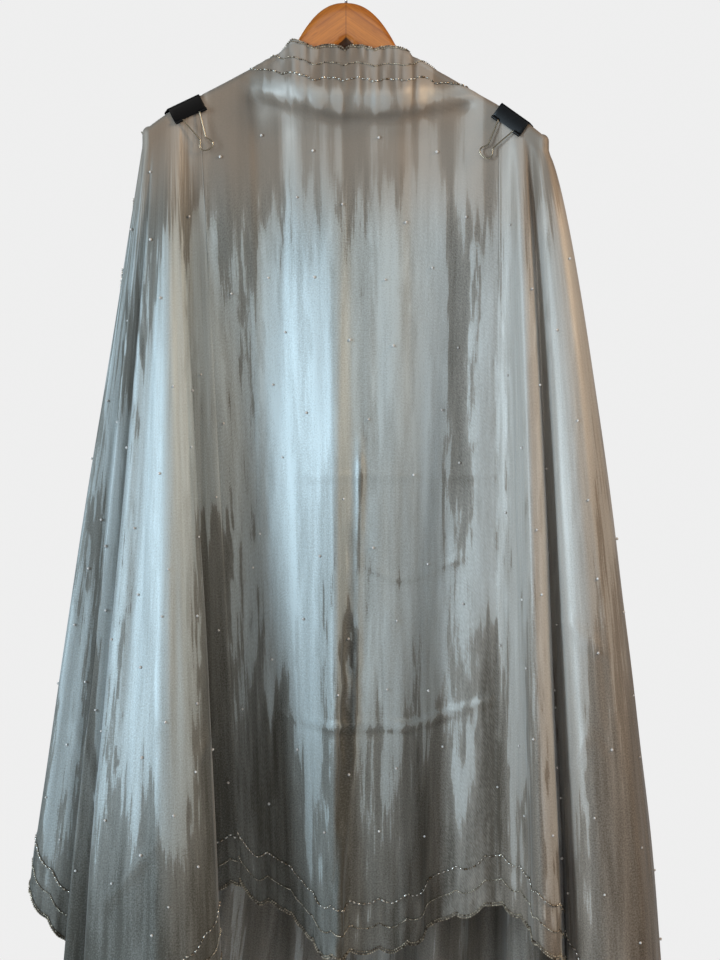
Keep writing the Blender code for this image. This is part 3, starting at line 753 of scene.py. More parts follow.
@dataclass
class ClothGrid:
    """A finished stretch as rows and columns of points, with what its parts need to know of each point."""

    name: str
    points: np.ndarray
    place: np.ndarray
    top: np.ndarray
    inset: np.ndarray
    # Painted sheen and shade, painted light tint, and lustre of each point
    tone: np.ndarray
    painted_light_tint: np.ndarray
    lustre: np.ndarray
    normals: np.ndarray
    lapped: int = 0

    def line(self, values: np.ndarray, level: float, lift: float, by_rows: bool = False) -> list[Vector]:
        """Points along the grid where a value has a level.

        Args:
            values: The value at each grid point, rising or falling down each column.
            level: The level to follow.
            lift: Height over the cloth.
            by_rows: Looks along each row instead of down each column.

        Returns:
            One point for each column, or row, that reaches the level.
        """
        points, normals = self.points, self.normals
        if by_rows:
            values, points, normals = values.T, points.swapaxes(0, 1), normals.swapaxes(0, 1)
        found = []
        for c in range(self.lapped, values.shape[1] - self.lapped):
            column = values[:, c] - level
            change = np.flatnonzero(np.sign(column[:-1]) != np.sign(column[1:]))
            if not len(change):
                continue
            r = int(change[0])
            t = column[r] / (column[r] - column[r + 1])
            point = points[r, c] * (1 - t) + points[r + 1, c] * t
            normal = normals[r, c] * (1 - t) + normals[r + 1, c] * t
            found.append(Vector(point + normal * lift))
        return found

    def at(self, column: float, q: float, lift: float) -> Vector:
        """The point at a place across the grid and a distance down from the ridge.

        Args:
            column: Place across, in columns.
            q: Distance down.
            lift: Height over the cloth.

        Returns:
            The point.
        """
        first = min(int(column), self.points.shape[1] - 2)
        found = []
        for c in (first, first + 1):
            row = float(np.interp(q, self.place[:, c, 1], np.arange(len(self.points))))
            r = min(int(row), len(self.points) - 2)
            t = row - r
            low = self.points[r, c] + self.normals[r, c] * lift
            high = self.points[r + 1, c] + self.normals[r + 1, c] * lift
            found.append(low * (1 - t) + high * t)
        share = column - first
        return Vector(found[0] * (1 - share) + found[1] * share)


def grid_normals(points: np.ndarray) -> np.ndarray:
    """Outward unit normals of a grid whose rows run down and whose columns run to the right."""
    normals = np.cross(np.gradient(points, axis=0), np.gradient(points, axis=1))
    return normals / np.maximum(np.linalg.norm(normals, axis=-1, keepdims=True), 1e-12)


def scallops(along: np.ndarray, pitch: float = 0.0345, depth: float = 0.0070) -> np.ndarray:
    """How far the scalloped edge stands out or in, by distance along it."""
    return depth * (np.abs(np.sin(np.pi * along / pitch)) ** 0.7 - 0.75)


def dense_rows(total: float, near: Sequence[float], count: int) -> np.ndarray:
    """Distances from 0 to total, closer together near some places.

    Args:
        total: The last distance.
        near: Places with closer rows.
        count: How many rows.

    Returns:
        The distances, one for each row.
    """
    fine = np.linspace(0, total, 1500)
    weight = 1 + sum(3.2 * np.exp(-(((fine - place) / 0.014) ** 2)) for place in near)
    run = np.concatenate([[0], np.cumsum((weight[1:] + weight[:-1]) / 2)])
    return np.interp(np.linspace(0, run[-1], count), run, fine)


def table_at(table: np.ndarray, shares: np.ndarray) -> np.ndarray:
    """Rows of a table at shares of its length."""
    grid = np.linspace(0, 1, len(table))
    return np.column_stack([np.interp(shares, grid, column) for column in table.T])


class HungCloth:
    """The five stretches of the hung cloth, with their folds, creases and gathers."""

    RIPPLES = (Wave(0.0026, 0.030, 0.42), Wave(0.0013, 0.013, 0.20, (40, 7)))
    HEM_PUCKER = Wave(1.0, 0.0052, 0.035)
    NECK_PUCKER = Wave(1.0, 0.0048, 0.05, (20, 0))
    PUCKER_HEIGHTS = (0.0011, 0.0013)
    # Painted highlights and shade that follow the gathers at the hem and at the neck
    PUCKER_PAINTED_SHADING = (0.22, 0.16)
    # How much the painted highlight along the collar cools the painted light tint
    PAINTED_HIGHLIGHT_COOLS = 2.4
    RIPPLE_GROWS = 0.75
    FREE_FROM = (0.030, 0.16)
    BACK_RIPPLE = 0.8
    HEM_LINES = 0.029
    HEM_EASE = (0.94, 0.06)
    LENT_SHARES = {Side.LEFT: 0.008, Side.RIGHT: 0.992}
    FIRST_PLACE = 0.17
    FIRST_RUN = 0.3
    LAP = ((0, 0.0010), (1, 0.0005), (-2, 0.0005), (-1, 0.0010))

    def __init__(self) -> None:
        """Reads the tables and seeds the wrinkles."""
        self.panel_table = spline(PANEL, 800)
        self.fold_tables = {side: spline(FOLDS[side], 1600) for side in Side}
        self.ripples, self.puckers, self.uneven, self.sheen = (SoftNoise(seed) for seed in (11, 23, 37, 51))

    def fold_columns(self, side: Side, shares: np.ndarray) -> np.ndarray:
        """Columns of a side's falls at shares of its curve: ring, angle in radians, x and y.

        Args:
            side: The side of the falls.
            shares: Places on the curve, from 0 in front to 1 behind.

        Returns:
            One row of four numbers for each share.
        """
        columns = table_at(self.fold_tables[side], shares)
        columns[:, 1] = np.radians(columns[:, 1])
        return columns

    def split(self, side: Side) -> float:
        """Share of a side's curve at which the front stretch ends."""
        table = self.fold_tables[side]
        return float(np.interp(0.5, table[:, 0], np.linspace(0, 1, len(table))))

    def creased(self, creases: Sequence[Crease], seen: np.ndarray, facing: np.ndarray) -> np.ndarray:
        """Sum of the shifts of creases, or of the painted sheen they lay.

        Args:
            creases: The creases.
            seen: x and z of each point as seen from the front.
            facing: 1 where the cloth faces the front, 0 where it faces back.

        Returns:
            The shift of each point.
        """
        return sum(crease.shift(seen, facing, self.uneven) for crease in creases)

    def relief(self, form: Stretch) -> tuple[np.ndarray, np.ndarray, np.ndarray, np.ndarray]:
        """How far each point of a stretch moves out, with its painted sheen and shade, its painted light tint and
        its lustre.

        Args:
            form: Plain form of the stretch.

        Returns:
            How far each point moves out, its painted sheen and shade, its painted light tint and its lustre.
        """
        facing = smooth(0.5 - grid_normals(form.points)[..., 1] * 2)
        seen = seen_from_front(form.points)
        ripple = sum(wave.of(self.ripples, form.place, form.q) for wave in self.RIPPLES)
        ripple *= smooth(form.q / self.RIPPLE_GROWS)
        folds = ripple * (1 + self.BACK_RIPPLE - self.BACK_RIPPLE * facing) + self.creased(CREASES, seen, facing)
        shift = folds * rise(form.q, *self.FREE_FROM)
        hem = 1 - smooth((form.inset - CLOTH.border + 0.004) / 0.010)
        lines = 0.45 + 0.55 * np.abs(np.sin(np.pi * form.inset / self.HEM_LINES))
        hem_gather = self.HEM_PUCKER.of(self.puckers, form.along, form.inset) * hem * lines
        neck = smooth((0.118 - form.top) / 0.05) * smooth((0.115 - np.abs(form.points[..., 0])) / 0.02)
        neck_gather = self.NECK_PUCKER.of(self.puckers, form.place, form.top) * neck
        hem_height, neck_height = self.PUCKER_HEIGHTS
        shift += self.creased(COLLAR_CREASES, seen, facing) + hem_height * hem_gather
        shift += neck_height * neck_gather * smooth(form.top / 0.004)
        # Painted light: highlight and shadow at the collar, highlights and shade along ironed creases and on the
        # gathers, and the light tint
        hem_painted_shading, neck_painted_shading = self.PUCKER_PAINTED_SHADING
        painted_collar_highlight = self.creased([COLLAR_SHEEN], seen, facing)
        painted_line_shading = self.creased([COLLAR_SHADE, *PAINTED_CREASE_SHADING], seen, facing)
        tone = SHEEN.tone(seen, facing, self.sheen) + painted_collar_highlight + painted_line_shading
        tone += neck_painted_shading * neck_gather + hem_painted_shading * hem_gather * facing
        painted_light_tint = SHEEN.painted_light_tint(seen, facing) - self.PAINTED_HIGHLIGHT_COOLS * painted_collar_highlight
        return shift, np.clip(tone, 0, 1), np.clip(painted_light_tint, 0, 1), SHEEN.lustre(seen, facing)

    def finish_grid(self, name: str, form: Stretch, ghosts: bool) -> ClothGrid:
        """Moves a stretch by its relief.

        Args:
            name: The piece's name.
            form: Its plain form.
            ghosts: Whether the first and the last column belong to a neighbour, and are dropped.

        Returns:
            The finished grid.
        """
        shift, *shades = self.relief(form)
        moved = form.points + grid_normals(form.points) * shift[..., None]
        place = np.stack([form.place, form.q], axis=-1)
        keep = slice(1, -1) if ghosts else slice(None)
        parts = (moved, place, form.top, form.inset, *shades, grid_normals(moved))
        return ClothGrid(name, *(part[:, keep] for part in parts))

    def falls(self, side: Side, behind: bool, columns: int, rows: int) -> ClothGrid:
        """One stretch of a side's falls.

        Args:
            side: The side it hangs on.
            behind: True for the stretch at the back.
            columns: Columns across it.
            rows: Rows down it.

        Returns:
            The grid, with its columns from the viewer's left to right round the outside.
        """
        split = self.split(side)
        start, stop = (split, 1.0) if behind else (0.0, split)
        shares = np.linspace(start, stop, columns)
        step = shares[1] - shares[0]
        shares = np.concatenate([[start - step], shares, [stop + step]])
        fold = self.fold_columns(side, np.clip(shares, 0, 1))
        lengths, plan = CLOTH.ray_length(side, fold[:, 1]), fold[:, [0, 2, 3]]
        along = side.value * (curve_run(CLOTH.fall_points(side, plan, lengths[None])[0]) + self.FIRST_RUN)
        q = np.stack([dense_rows(length, (0.0, length), rows) for length in lengths], axis=1)
        q = q + scallops(along)[None] * rise(q / lengths, *self.HEM_EASE)
        points = CLOTH.fall_points(side, plan, q)
        if behind:
            points[:, -1] = 2 * points[:, -2] - points[:, -3]
        else:
            lent = table_at(self.panel_table, np.array([self.LENT_SHARES[side]]))
            points[:, 0] = CLOTH.panel_points(lent, (q[:, 1] + lent[0, 1])[:, None])[:, 0]
        width = float(np.sum(np.linalg.norm(np.diff(self.fold_tables[side][:, 2:], axis=0), axis=1)))
        place = np.broadcast_to(side.value * (self.FIRST_PLACE + shares * width), q.shape).copy()
        top = q * np.cos(fold[:, 1])[None] + CLOTH.clip_inset
        form = Stretch(points, place, q, top, lengths[None] + scallops(along)[None] - q, along[None])
        if side is Side.LEFT:
            form = form.picked(slice(None, None, -1))
        return self.finish_grid(f"cloth_{side.label}_falls_{'back' if behind else 'front'}", form, True)

    def panel(self, columns: int, rows: int) -> ClothGrid:
        """The panel between the clips, with its border turned over behind the arms.

        Args:
            columns: Columns across it.
            rows: Rows down it.

        Returns:
            The grid, whose first and last columns pass under the falls.
        """
        table = table_at(self.panel_table, np.linspace(0, 1, columns))
        v = np.stack([dense_rows(CLOTH.width, (flap, CLOTH.width), rows) for flap in table[:, 1]], axis=1)
        along = curve_run(table[:, 3:])
        edge = scallops(table[:, 0] + 0.002)
        hem = scallops(along)[None] * rise(v / CLOTH.width, *self.HEM_EASE)
        v = v + hem - edge[None] * (1 - smooth(v / 0.030))
        q = v - table[:, 1]
        place = np.broadcast_to(table[:, 0], q.shape).copy()
        inset = CLOTH.width + scallops(along)[None] - v
        form = Stretch(CLOTH.panel_points(table, v), place, q, v + edge[None], inset, along[None])
        lent = []
        for side, column, inner in ((Side.LEFT, 0, 1), (Side.RIGHT, -1, -2)):
            fold = self.fold_columns(side, np.array([2.0 / len(self.fold_tables[side])]))
            beside = CLOTH.fall_points(side, fold[:, [0, 2, 3]], np.maximum(q[:, column], 0)[:, None])[:, 0]
            plain = 2 * form.points[:, column] - form.points[:, inner]
            lent.append(np.where((q[:, column] < 0.02)[:, None], plain, beside))
        form = form.picked([0, *range(columns), columns - 1])
        form.points[:, 0], form.points[:, -1] = lent
        grid = self.finish_grid("cloth_panel", form, False)
        for column, depth in self.LAP:
            grid.points[:, column] -= grid.normals[:, column] * depth
        grid.lapped = 1
        return grid


# ---------------------------------------------------------------- node trees and materials


class NodeTree:
    """Short hand for building a node tree."""

    def __init__(self, tree: bpy.types.NodeTree) -> None:
        """Takes the tree to build in."""
        self.tree = tree

    def feed(self, value: object, target: bpy.types.NodeSocket) -> None:
        """Links a socket to a target, or sets the target's own value.

        Args:
            value: A socket to link, or a value to set.
            target: The input that takes it.
        """
        if isinstance(value, bpy.types.NodeSocket):
            self.tree.links.new(value, target)
        else:
            target.default_value = value

    def add(self, kind: str, **values: object) -> bpy.types.Node:
        """Adds a node.

        Args:
            kind: Its bl_idname.
            values: Properties by name, or inputs by name with underscores for spaces.

        Returns:
            The node.
        """
        node = self.tree.nodes.new(kind)
        for key, value in values.items():
            if hasattr(node, key):
                setattr(node, key, value)
            else:
                self.feed(value, node.inputs[key.replace("_", " ")])
        return node


class ShaderTree(NodeTree):
    """Node tree of a new material with a Principled shader."""

    def __init__(self, name: str) -> None:
        """Starts the material.

        Args:
            name: Name of the material.
        """
        self.material = bpy.data.materials.new(name)
        self.material.use_nodes = True
        super().__init__(self.material.node_tree)
        self.shader = self.tree.nodes["Principled BSDF"]

    def finish(self, **values: object) -> bpy.types.Material:
        """Feeds the shader's inputs, named with underscores for spaces, and gives the material.

        Args:
            values: Sockets or values by input, with underscores for spaces.

        Returns:
            The material.
        """
        for key, value in values.items():
            self.feed(value, self.shader.inputs[key.replace("_", " ")])
        return self.material

    def place(self) -> bpy.types.NodeSocket:
        """Object coordinates."""
        return self.add("ShaderNodeTexCoord").outputs["Object"]

    def attribute(self, name: str) -> bpy.types.NodeSocket:
        """A number stored on the mesh."""
        return self.add("ShaderNodeAttribute", attribute_name=name).outputs["Fac"]

    def noise(self, source: bpy.types.NodeSocket, scale: Triple, detail: float, rough: float = 0.5) -> object:
        """Noise on scaled coordinates, from 0 to 1."""
        scaled = self.add("ShaderNodeMapping", Scale=scale, Vector=source).outputs[0]
        return self.add("ShaderNodeTexNoise", Scale=1.0, Detail=detail, Roughness=rough, Vector=scaled).outputs[0]

    def ramp(self, source: bpy.types.NodeSocket, *stops: tuple[float, Triple]) -> bpy.types.NodeSocket:
        """Colours by value, at places from 0 to 1.

        Args:
            source: The value.
            stops: Places from 0 to 1 with their colours.

        Returns:
            The colour socket.
        """
        node = self.add("ShaderNodeValToRGB", Fac=source)
        while len(node.color_ramp.elements) < len(stops):
            node.color_ramp.elements.new(0.5)
        for element, (place, colour) in zip(node.color_ramp.elements, stops):
            element.position, element.color = place, (*colour, 1)
        return node.outputs[0]

    def span(self, value: bpy.types.NodeSocket, kind: str = "LINEAR", **ends: float) -> bpy.types.NodeSocket:
        """A value brought from one range to another, both named with underscores for spaces."""
        return self.add("ShaderNodeMapRange", interpolation_type=kind, Value=value, **ends).outputs[0]

    def maths(self, operation: str, *values: object) -> bpy.types.NodeSocket:
        """A Math node on sockets or numbers.

        Args:
            operation: Name of the operation.
            values: Sockets or numbers, one for each input.

        Returns:
            The result.
        """
        node = self.add("ShaderNodeMath", operation=operation)
        for socket, value in zip(node.inputs, values):
            self.feed(value, socket)
        return node.outputs[0]

    def mix(self, factor: object, a: object, b: object, blend: str = "MIX") -> bpy.types.NodeSocket:
        """A mix of two colours.

        Args:
            factor: Share of b.
            a: First colour.
            b: Second colour.
            blend: How b goes over a.

        Returns:
            The mixed colour.
        """
        node = self.add("ShaderNodeMix", data_type="RGBA", blend_type=blend)
        colours = [socket for socket in node.inputs if socket.type == "RGBA"]
        for socket, value in zip((node.inputs[0], *colours), (factor, a, b)):
            self.feed(value, socket)
        return next(socket for socket in node.outputs if socket.type == "RGBA")

    def bump(self, height: bpy.types.NodeSocket, strength: float, distance: float) -> bpy.types.NodeSocket:
        """A normal from a height."""
        return self.add("ShaderNodeBump", Strength=strength, Distance=distance, Height=height).outputs[0]


@dataclass(frozen=True)
class TissueSilk:
    """Silver-grey shot tissue with painted sheen in its colour: icy where painted bright, taupe elsewhere, with
    ragged slub streaks down the cloth.
    """

    name: str = "tissue_silk"
    # Colours from dark to pale under the painted cool and the painted warm light tint: dark is painted shade, pale
    # painted highlight
    cool: tuple[Triple, ...] = ((0.070, 0.068, 0.055), (0.215, 0.222, 0.205), (0.54, 0.62, 0.635))
    warm: tuple[Triple, ...] = ((0.100, 0.073, 0.048), (0.335, 0.276, 0.222), (0.62, 0.565, 0.505))
    stops: tuple[float, ...] = (0.05, 0.40, 0.46, 0.98)
    # Noise of the slub streaks, which break the painted sheen into ragged bands, and of the weave: scale across,
    # down and deep, detail and strength
    sheen_slubs: tuple[tuple, ...] = (((120, 8, 1), 4, 0.78), ((420, 14, 1), 3, 0.24))
    feathers: tuple[tuple, ...] = (((130, 1300, 1), 3, 0.16),)
    weave: tuple[tuple, ...] = (((560, 520, 1), 2, 0.60), ((2600, 140, 1), 2, 0.12))
    # Where the painted sheen splits into painted icy highlights and taupe, and how much each adds
    edge: tuple[float, float] = (0.45, 0.55)
    edge_gain: float = 0.30
    slub_gain: float = 0.56
    lift: float = 0.08
    grain_roughness: float = 0.6
    metallic: float = 0.20
    roughness: tuple[float, float] = (0.60, 0.46)
    bump: tuple[float, float] = (0.35, 0.0010)
    sheen: float = 0.30
    sheen_roughness: float = 0.4
    sheen_tint: tuple[float, ...] = (0.84, 0.92, 0.98, 1)

    def material(self) -> bpy.types.Material:
        """Builds the cloth's material.

        Returns:
            The material.
        """
        tree = ShaderTree(self.name)
        ground = tree.add("ShaderNodeUVMap", uv_map="cloth").outputs[0], tree.attribute("lustre")
        # The painted sheen on the mesh, broken into slub streaks, split into painted highlights and taupe, and
        # coloured by the painted light tint
        sheen_slubs = self.grained(tree, ground, tree.attribute("tone"), self.sheen_slubs)
        low, high = self.edge
        feathered = self.grained(tree, ground, sheen_slubs, self.feathers)
        bright = tree.span(feathered, "SMOOTHSTEP", From_Min=low, From_Max=high)
        shown = tree.maths("MULTIPLY_ADD", bright, self.edge_gain, tree.maths("MULTIPLY", sheen_slubs, self.slub_gain))
        woven = tree.maths("ADD", self.grained(tree, ground, shown, self.weave), self.lift)
        tones = []
        for dark, middle, pale in (self.cool, self.warm):
            tones.append(tree.ramp(woven, *zip(self.stops, (dark, middle, middle, pale))))
        rough, smoother = self.roughness
        return tree.finish(
            Base_Color=tree.mix(tree.attribute("painted_light_tint"), *tones), Metallic=self.metallic,
            Roughness=tree.span(woven, To_Min=rough, To_Max=smoother), Normal=tree.bump(woven, *self.bump),
            Sheen_Weight=self.sheen, Sheen_Roughness=self.sheen_roughness, Sheen_Tint=self.sheen_tint,
        )

    def grained(
        self, tree: ShaderTree, ground: tuple, value: bpy.types.NodeSocket, layers: Sequence
    ) -> bpy.types.NodeSocket:
        """Adds noise to a value, as much as the cloth's lustre lets it show.

        Args:
            tree: The material's tree.
            ground: Sockets of the place on the flat cloth and of the lustre.
            value: The value.
            layers: Scale, detail and strength of each noise.

        Returns:
            The value with its noise.
        """
        place, lustre = ground
        for scale, detail, strength in layers:
            grain = tree.maths("SUBTRACT", tree.noise(place, scale, detail, self.grain_roughness), 0.5)
            value = tree.maths("MULTIPLY_ADD", tree.maths("MULTIPLY", grain, strength), lustre, value)
        return value


@dataclass(frozen=True)
class BeadFinish:
    """Finish of beads, from a dull to a bright tone that changes from bead to bead."""

    name: str
    dull: Triple
    bright: Triple
    metallic: float
    roughness: float
    coat: float = 0.0
    grain: Triple = (900, 900, 900)
    bump: tuple[float, float] = (0.15, 0.0003)

    def material(self) -> bpy.types.Material:
        """Builds the beads' material.

        Returns:
            The material.
        """
        tree = ShaderTree(self.name)
        middle = tuple((a + b) / 2 for a, b in zip(self.dull, self.bright))
        stops = ((0.0, self.dull), (0.45, middle), (1.0, self.bright))
        return tree.finish(
            Base_Color=tree.ramp(tree.attribute("bead_tone"), *stops),
            Normal=tree.bump(tree.noise(tree.place(), self.grain, 2), *self.bump),
            Metallic=self.metallic, Roughness=self.roughness, Coat_Weight=self.coat,
        )


@dataclass(frozen=True)
class VarnishedWood:
    """Orange-brown wood of two halves, whose grain meets in a chevron at the centre seam."""

    name: str = "varnished_wood"
    pale: Triple = (0.62, 0.200, 0.020)
    brown: Triple = (0.38, 0.105, 0.010)
    seam: Triple = (0.16, 0.060, 0.018)
    stops: tuple[float, ...] = (0.12, 0.38, 0.62, 0.9)
    # Slope of the chevron, then scale, detail and roughness of each noise with its share
    slope: tuple[float, float] = (0.62, 0.85)
    warp: tuple[tuple, float] = (((40, 40, 40), 3), 0.02)
    grain: tuple[tuple, float] = (((650, 60, 120), 4, 0.6), 0.55)
    bands: tuple[tuple, float] = (((130, 20, 60), 2), 0.45)
    seam_share: float = 0.6
    seam_sharpness: float = 1600.0
    # Painted shade in the notch below the seam: heights over which the wood darkens, and the share of its colour
    # kept
    notch_edge: tuple[float, float] = (NOTCH_TOP - 0.0012, NOTCH_TOP + 0.0004)
    notch_painted_shade: float = 0.12
    bump: tuple[float, float] = (0.25, 0.0006)
    roughness: float = 0.32
    coat: tuple[float, float] = (0.4, 0.10)

    @staticmethod
    def layer(tree: ShaderTree, place: bpy.types.NodeSocket, noise: tuple, share: float) -> bpy.types.NodeSocket:
        """One noise of the grain, times its share."""
        return tree.maths("MULTIPLY", tree.noise(place, *noise), share)

    def material(self) -> bpy.types.Material:
        """Builds the wood's material.

        Returns:
            The material.
        """
        tree = ShaderTree(self.name)
        place = tree.place()
        x, y, z = tree.add("ShaderNodeSeparateXYZ", Vector=place).outputs
        folded = tree.maths("ABSOLUTE", x, 0.0)
        out, up = self.slope
        lines = tree.maths("ADD", tree.maths("MULTIPLY", folded, out), tree.maths("MULTIPLY", z, up))
        warp = self.layer(tree, place, *self.warp)
        grain_place = tree.add("ShaderNodeCombineXYZ", X=lines, Y=y, Z=warp).outputs[0]
        grain, bands = (self.layer(tree, grain_place, *row) for row in (self.grain, self.bands))
        cut = tree.maths("MINIMUM", tree.maths("MULTIPLY", folded, self.seam_sharpness), 1.0)
        seam = tree.maths("ADD", tree.maths("MULTIPLY", cut, self.seam_share), 1 - self.seam_share)
        shade = tree.maths("MULTIPLY", tree.maths("ADD", grain, bands), seam)
        # Painted shade: the wood's colour is darkened in the wedge below the crown's seam
        low, high = self.notch_edge
        wedge = tree.span(
            tree.maths("ADD", z, tree.maths("MULTIPLY", folded, NOTCH_SLOPE)), "SMOOTHSTEP", From_Min=low,
            From_Max=high, To_Min=self.notch_painted_shade,
        )
        colour = tree.ramp(shade, *zip(self.stops, (self.seam, self.brown, self.pale, self.pale)))
        return tree.finish(
            Base_Color=tree.mix(1.0, colour, wedge, "MULTIPLY"), Normal=tree.bump(shade, *self.bump),
            Roughness=self.roughness, Coat_Weight=self.coat[0], Coat_Roughness=self.coat[1],
        )


@dataclass(frozen=True)
class MetalFinish:
    """Enamelled or plated metal with faint wear."""

    name: str
    colour: Triple
    worn: Triple
    metallic: float
    roughness: tuple[float, float]
    coat: float = 0.0
    specular: float = 0.5
    fine: tuple = ((700, 700, 700), 4, 0.6)
    blotches: tuple = ((90, 90, 90), 3)
    stops: tuple[float, float] = (0.32, 0.55)
    bump: tuple[float, float] = (0.08, 0.0003)

    def material(self) -> bpy.types.Material:
        """Builds the metal's material.

        Returns:
            The material.
        """
        tree = ShaderTree(self.name)
        place = tree.place()
        fine = tree.noise(place, *self.fine)
        wear = tree.maths("MULTIPLY", fine, tree.noise(place, *self.blotches))
        low, high = self.roughness
        return tree.finish(
            Base_Color=tree.ramp(wear, *zip(self.stops, (self.colour, self.worn))), Metallic=self.metallic,
            Roughness=tree.span(fine, To_Min=low, To_Max=high), Normal=tree.bump(fine, *self.bump),
            Specular_IOR_Level=self.specular, Coat_Weight=self.coat,
        )


FINISHES = (
    TissueSilk(),
    BeadFinish("seed_beads", (0.075, 0.048, 0.026), (0.72, 0.64, 0.50), 0.75, 0.30),
    BeadFinish("bugle_beads", (0.20, 0.14, 0.085), (0.86, 0.84, 0.78), 0.8, 0.22),
    BeadFinish("gold_grains", (0.10, 0.068, 0.036), (0.88, 0.82, 0.68), 0.75, 0.25),
    BeadFinish("pearls", (0.58, 0.53, 0.49), (0.80, 0.78, 0.75), 0.0, 0.22, 0.5),
    VarnishedWood(),
    MetalFinish("hook_steel", (0.62, 0.62, 0.63), (0.42, 0.41, 0.40), 1.0, (0.16, 0.30)),
    MetalFinish("black_enamel", (0.0025, 0.0025, 0.003), (0.010, 0.010, 0.011), 0.0, (0.30, 0.42), 0.05, 0.22),
    MetalFinish("clip_wire", (0.40, 0.34, 0.25), (0.20, 0.155, 0.10), 1.0, (0.22, 0.36)),
)
Materials = dict[str, bpy.types.Material]


# ---------------------------------------------------------------- meshes


def linked(name: str, data: bpy.types.ID) -> bpy.types.Object:
    """A new object in the scene.

    Args:
        name: Name of the object.
        data: Its mesh, curve, light or camera.

    Returns:
        The object.
    """
    obj = bpy.data.objects.new(name, data)
    bpy.context.scene.collection.objects.link(obj)
    return obj


def dressed(name: str, mesh: bpy.types.Mesh, material: bpy.types.Material) -> bpy.types.Object:
    """Puts a mesh in the scene with its only material.

    Args:
        name: Name of the object.
        mesh: Its mesh.
        material: Its material.

    Returns:
        The object.
    """
    mesh.materials.clear()
    mesh.materials.append(material)
    return linked(name, mesh)


def settled(obj: bpy.types.Object, slot: str, *nodes: str, body: str = ROOT_BODY) -> bpy.types.Object:
    """Ties a finished piece to its body and hides the CAD nodes it stands for.

    Args:
        obj: The piece.
        slot: Not used.
        nodes: CAD nodes that it stands for.
        body: The body that it rides on.

    Returns:
        The piece.
    """
    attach(obj, body)
    if nodes:
        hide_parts(*nodes)
    return obj


def plain_mesh(name: str, points: Sequence, faces: Sequence) -> bpy.types.Mesh:
    """A mesh from points and faces.

    Args:
        name: Name of the mesh.
        points: Its points.
        faces: Its faces, as numbers of points.

    Returns:
        The mesh.
    """
    mesh = bpy.data.meshes.new(name)
    mesh.from_pydata(points, [], faces)
    return mesh


def turn_outwards(mesh: bpy.types.Mesh, weld: float = 0.0) -> bpy.types.Mesh:
    """The mesh with its faces turned outwards, and with doubles nearer than weld made one.

    Args:
        mesh: The mesh, which is changed.
        weld: Distance under which points are made one, or 0.

    Returns:
        The same mesh.
    """
    work = bmesh.new()
    work.from_mesh(mesh)
    if weld:
        bmesh.ops.remove_doubles(work, verts=work.verts, dist=weld)
    bmesh.ops.recalc_face_normals(work, faces=work.faces)
    work.to_mesh(mesh)
    work.free()
    return mesh


def ring_faces(rings: int, count: int, closed: bool) -> list[tuple[int, ...]]:
    """Faces from each ring of points to the next, and from the last to the first where closed.

    Args:
        rings: How many rings.
        count: Points in a ring.
        closed: Whether the last ring joins the first.

    Returns:
        The faces, as numbers of points.
    """
    faces = []
    for ring in range(rings if closed else rings - 1):
        low, high = ring * count, (ring + 1) % rings * count
        for c in range(count):
            d = (c + 1) % count
            faces.append((low + c, low + d, high + d, high + c))
    return faces


def taken_mesh(name: str, holder: bpy.types.Object) -> bpy.types.Mesh:
    """The mesh that an object's modifiers or curves make. The object is removed.

    Args:
        name: Name of the mesh.
        holder: The object.

    Returns:
        A mesh of its own.
    """
    graph = bpy.context.evaluated_depsgraph_get()
    mesh = bpy.data.meshes.new_from_object(holder.evaluated_get(graph), depsgraph=graph)
    mesh.name = name
    holder.modifiers.clear()
    bpy.data.objects.remove(holder, do_unlink=True)
    return mesh


def shell_object(grid: ClothGrid, wall: float, material: bpy.types.Material) -> bpy.types.Object:
    """A closed thin shell on a grid.

    Args:
        grid: The cloth's middle surface.
        wall: Its thickness.
        material: Its finish.

    Returns:
        The object.
    """
    rows, columns, _ = grid.points.shape
    count = rows * columns
    points = np.concatenate([(grid.points + grid.normals * wall * way / 2).reshape(-1, 3) for way in (1, -1)])
    index = np.arange(count).reshape(rows, columns)
    corners = (index[:-1, :-1], index[1:, :-1], index[1:, 1:], index[:-1, 1:])
    front = np.stack(corners, axis=-1).reshape(-1, 4)
    rims = []
    for edge in (index[:, 0][::-1], index[-1][::-1], index[:, -1], index[0]):
        rims.append(np.stack([edge[:-1], edge[1:], edge[1:] + count, edge[:-1] + count], axis=-1))
    faces = np.concatenate([front, front[:, ::-1] + count, *rims])
    mesh = plain_mesh(grid.name, points.tolist(), faces.tolist())
    used = np.empty(len(mesh.loops), np.int32)
    mesh.loops.foreach_get("vertex_index", used)
    place = np.tile(grid.place.reshape(-1, 2), (2, 1)).astype(np.float32)
    mesh.uv_layers.new(name="cloth").data.foreach_set("uv", place[used].ravel())
    # Painted sheen and shade, painted light tint and lustre, stored on the points for the material
    for name in ("tone", "painted_light_tint", "lustre"):
        values = np.tile(getattr(grid, name).ravel(), 2).astype(np.float32)
        mesh.attributes.new(name, "FLOAT", "POINT").data.foreach_set("value", values)
    mesh.shade_smooth()
    normals = grid.normals.reshape(-1, 3)
    mesh.normals_split_custom_set_from_vertices(np.concatenate([normals, -normals]).tolist())
    return dressed(grid.name, mesh, material)


# ---------------------------------------------------------------- what repeats, by Geometry Nodes


@dataclass(frozen=True)
class Bead:
    """Sizes and facets of one bead. rings is 0 for a tube, and sit is its height over the cloth in radii."""

    name: str
    finish: str
    radius: float
    pitch: float
    facets: int
    rings: int
    sit: float
    length: float = 0.0


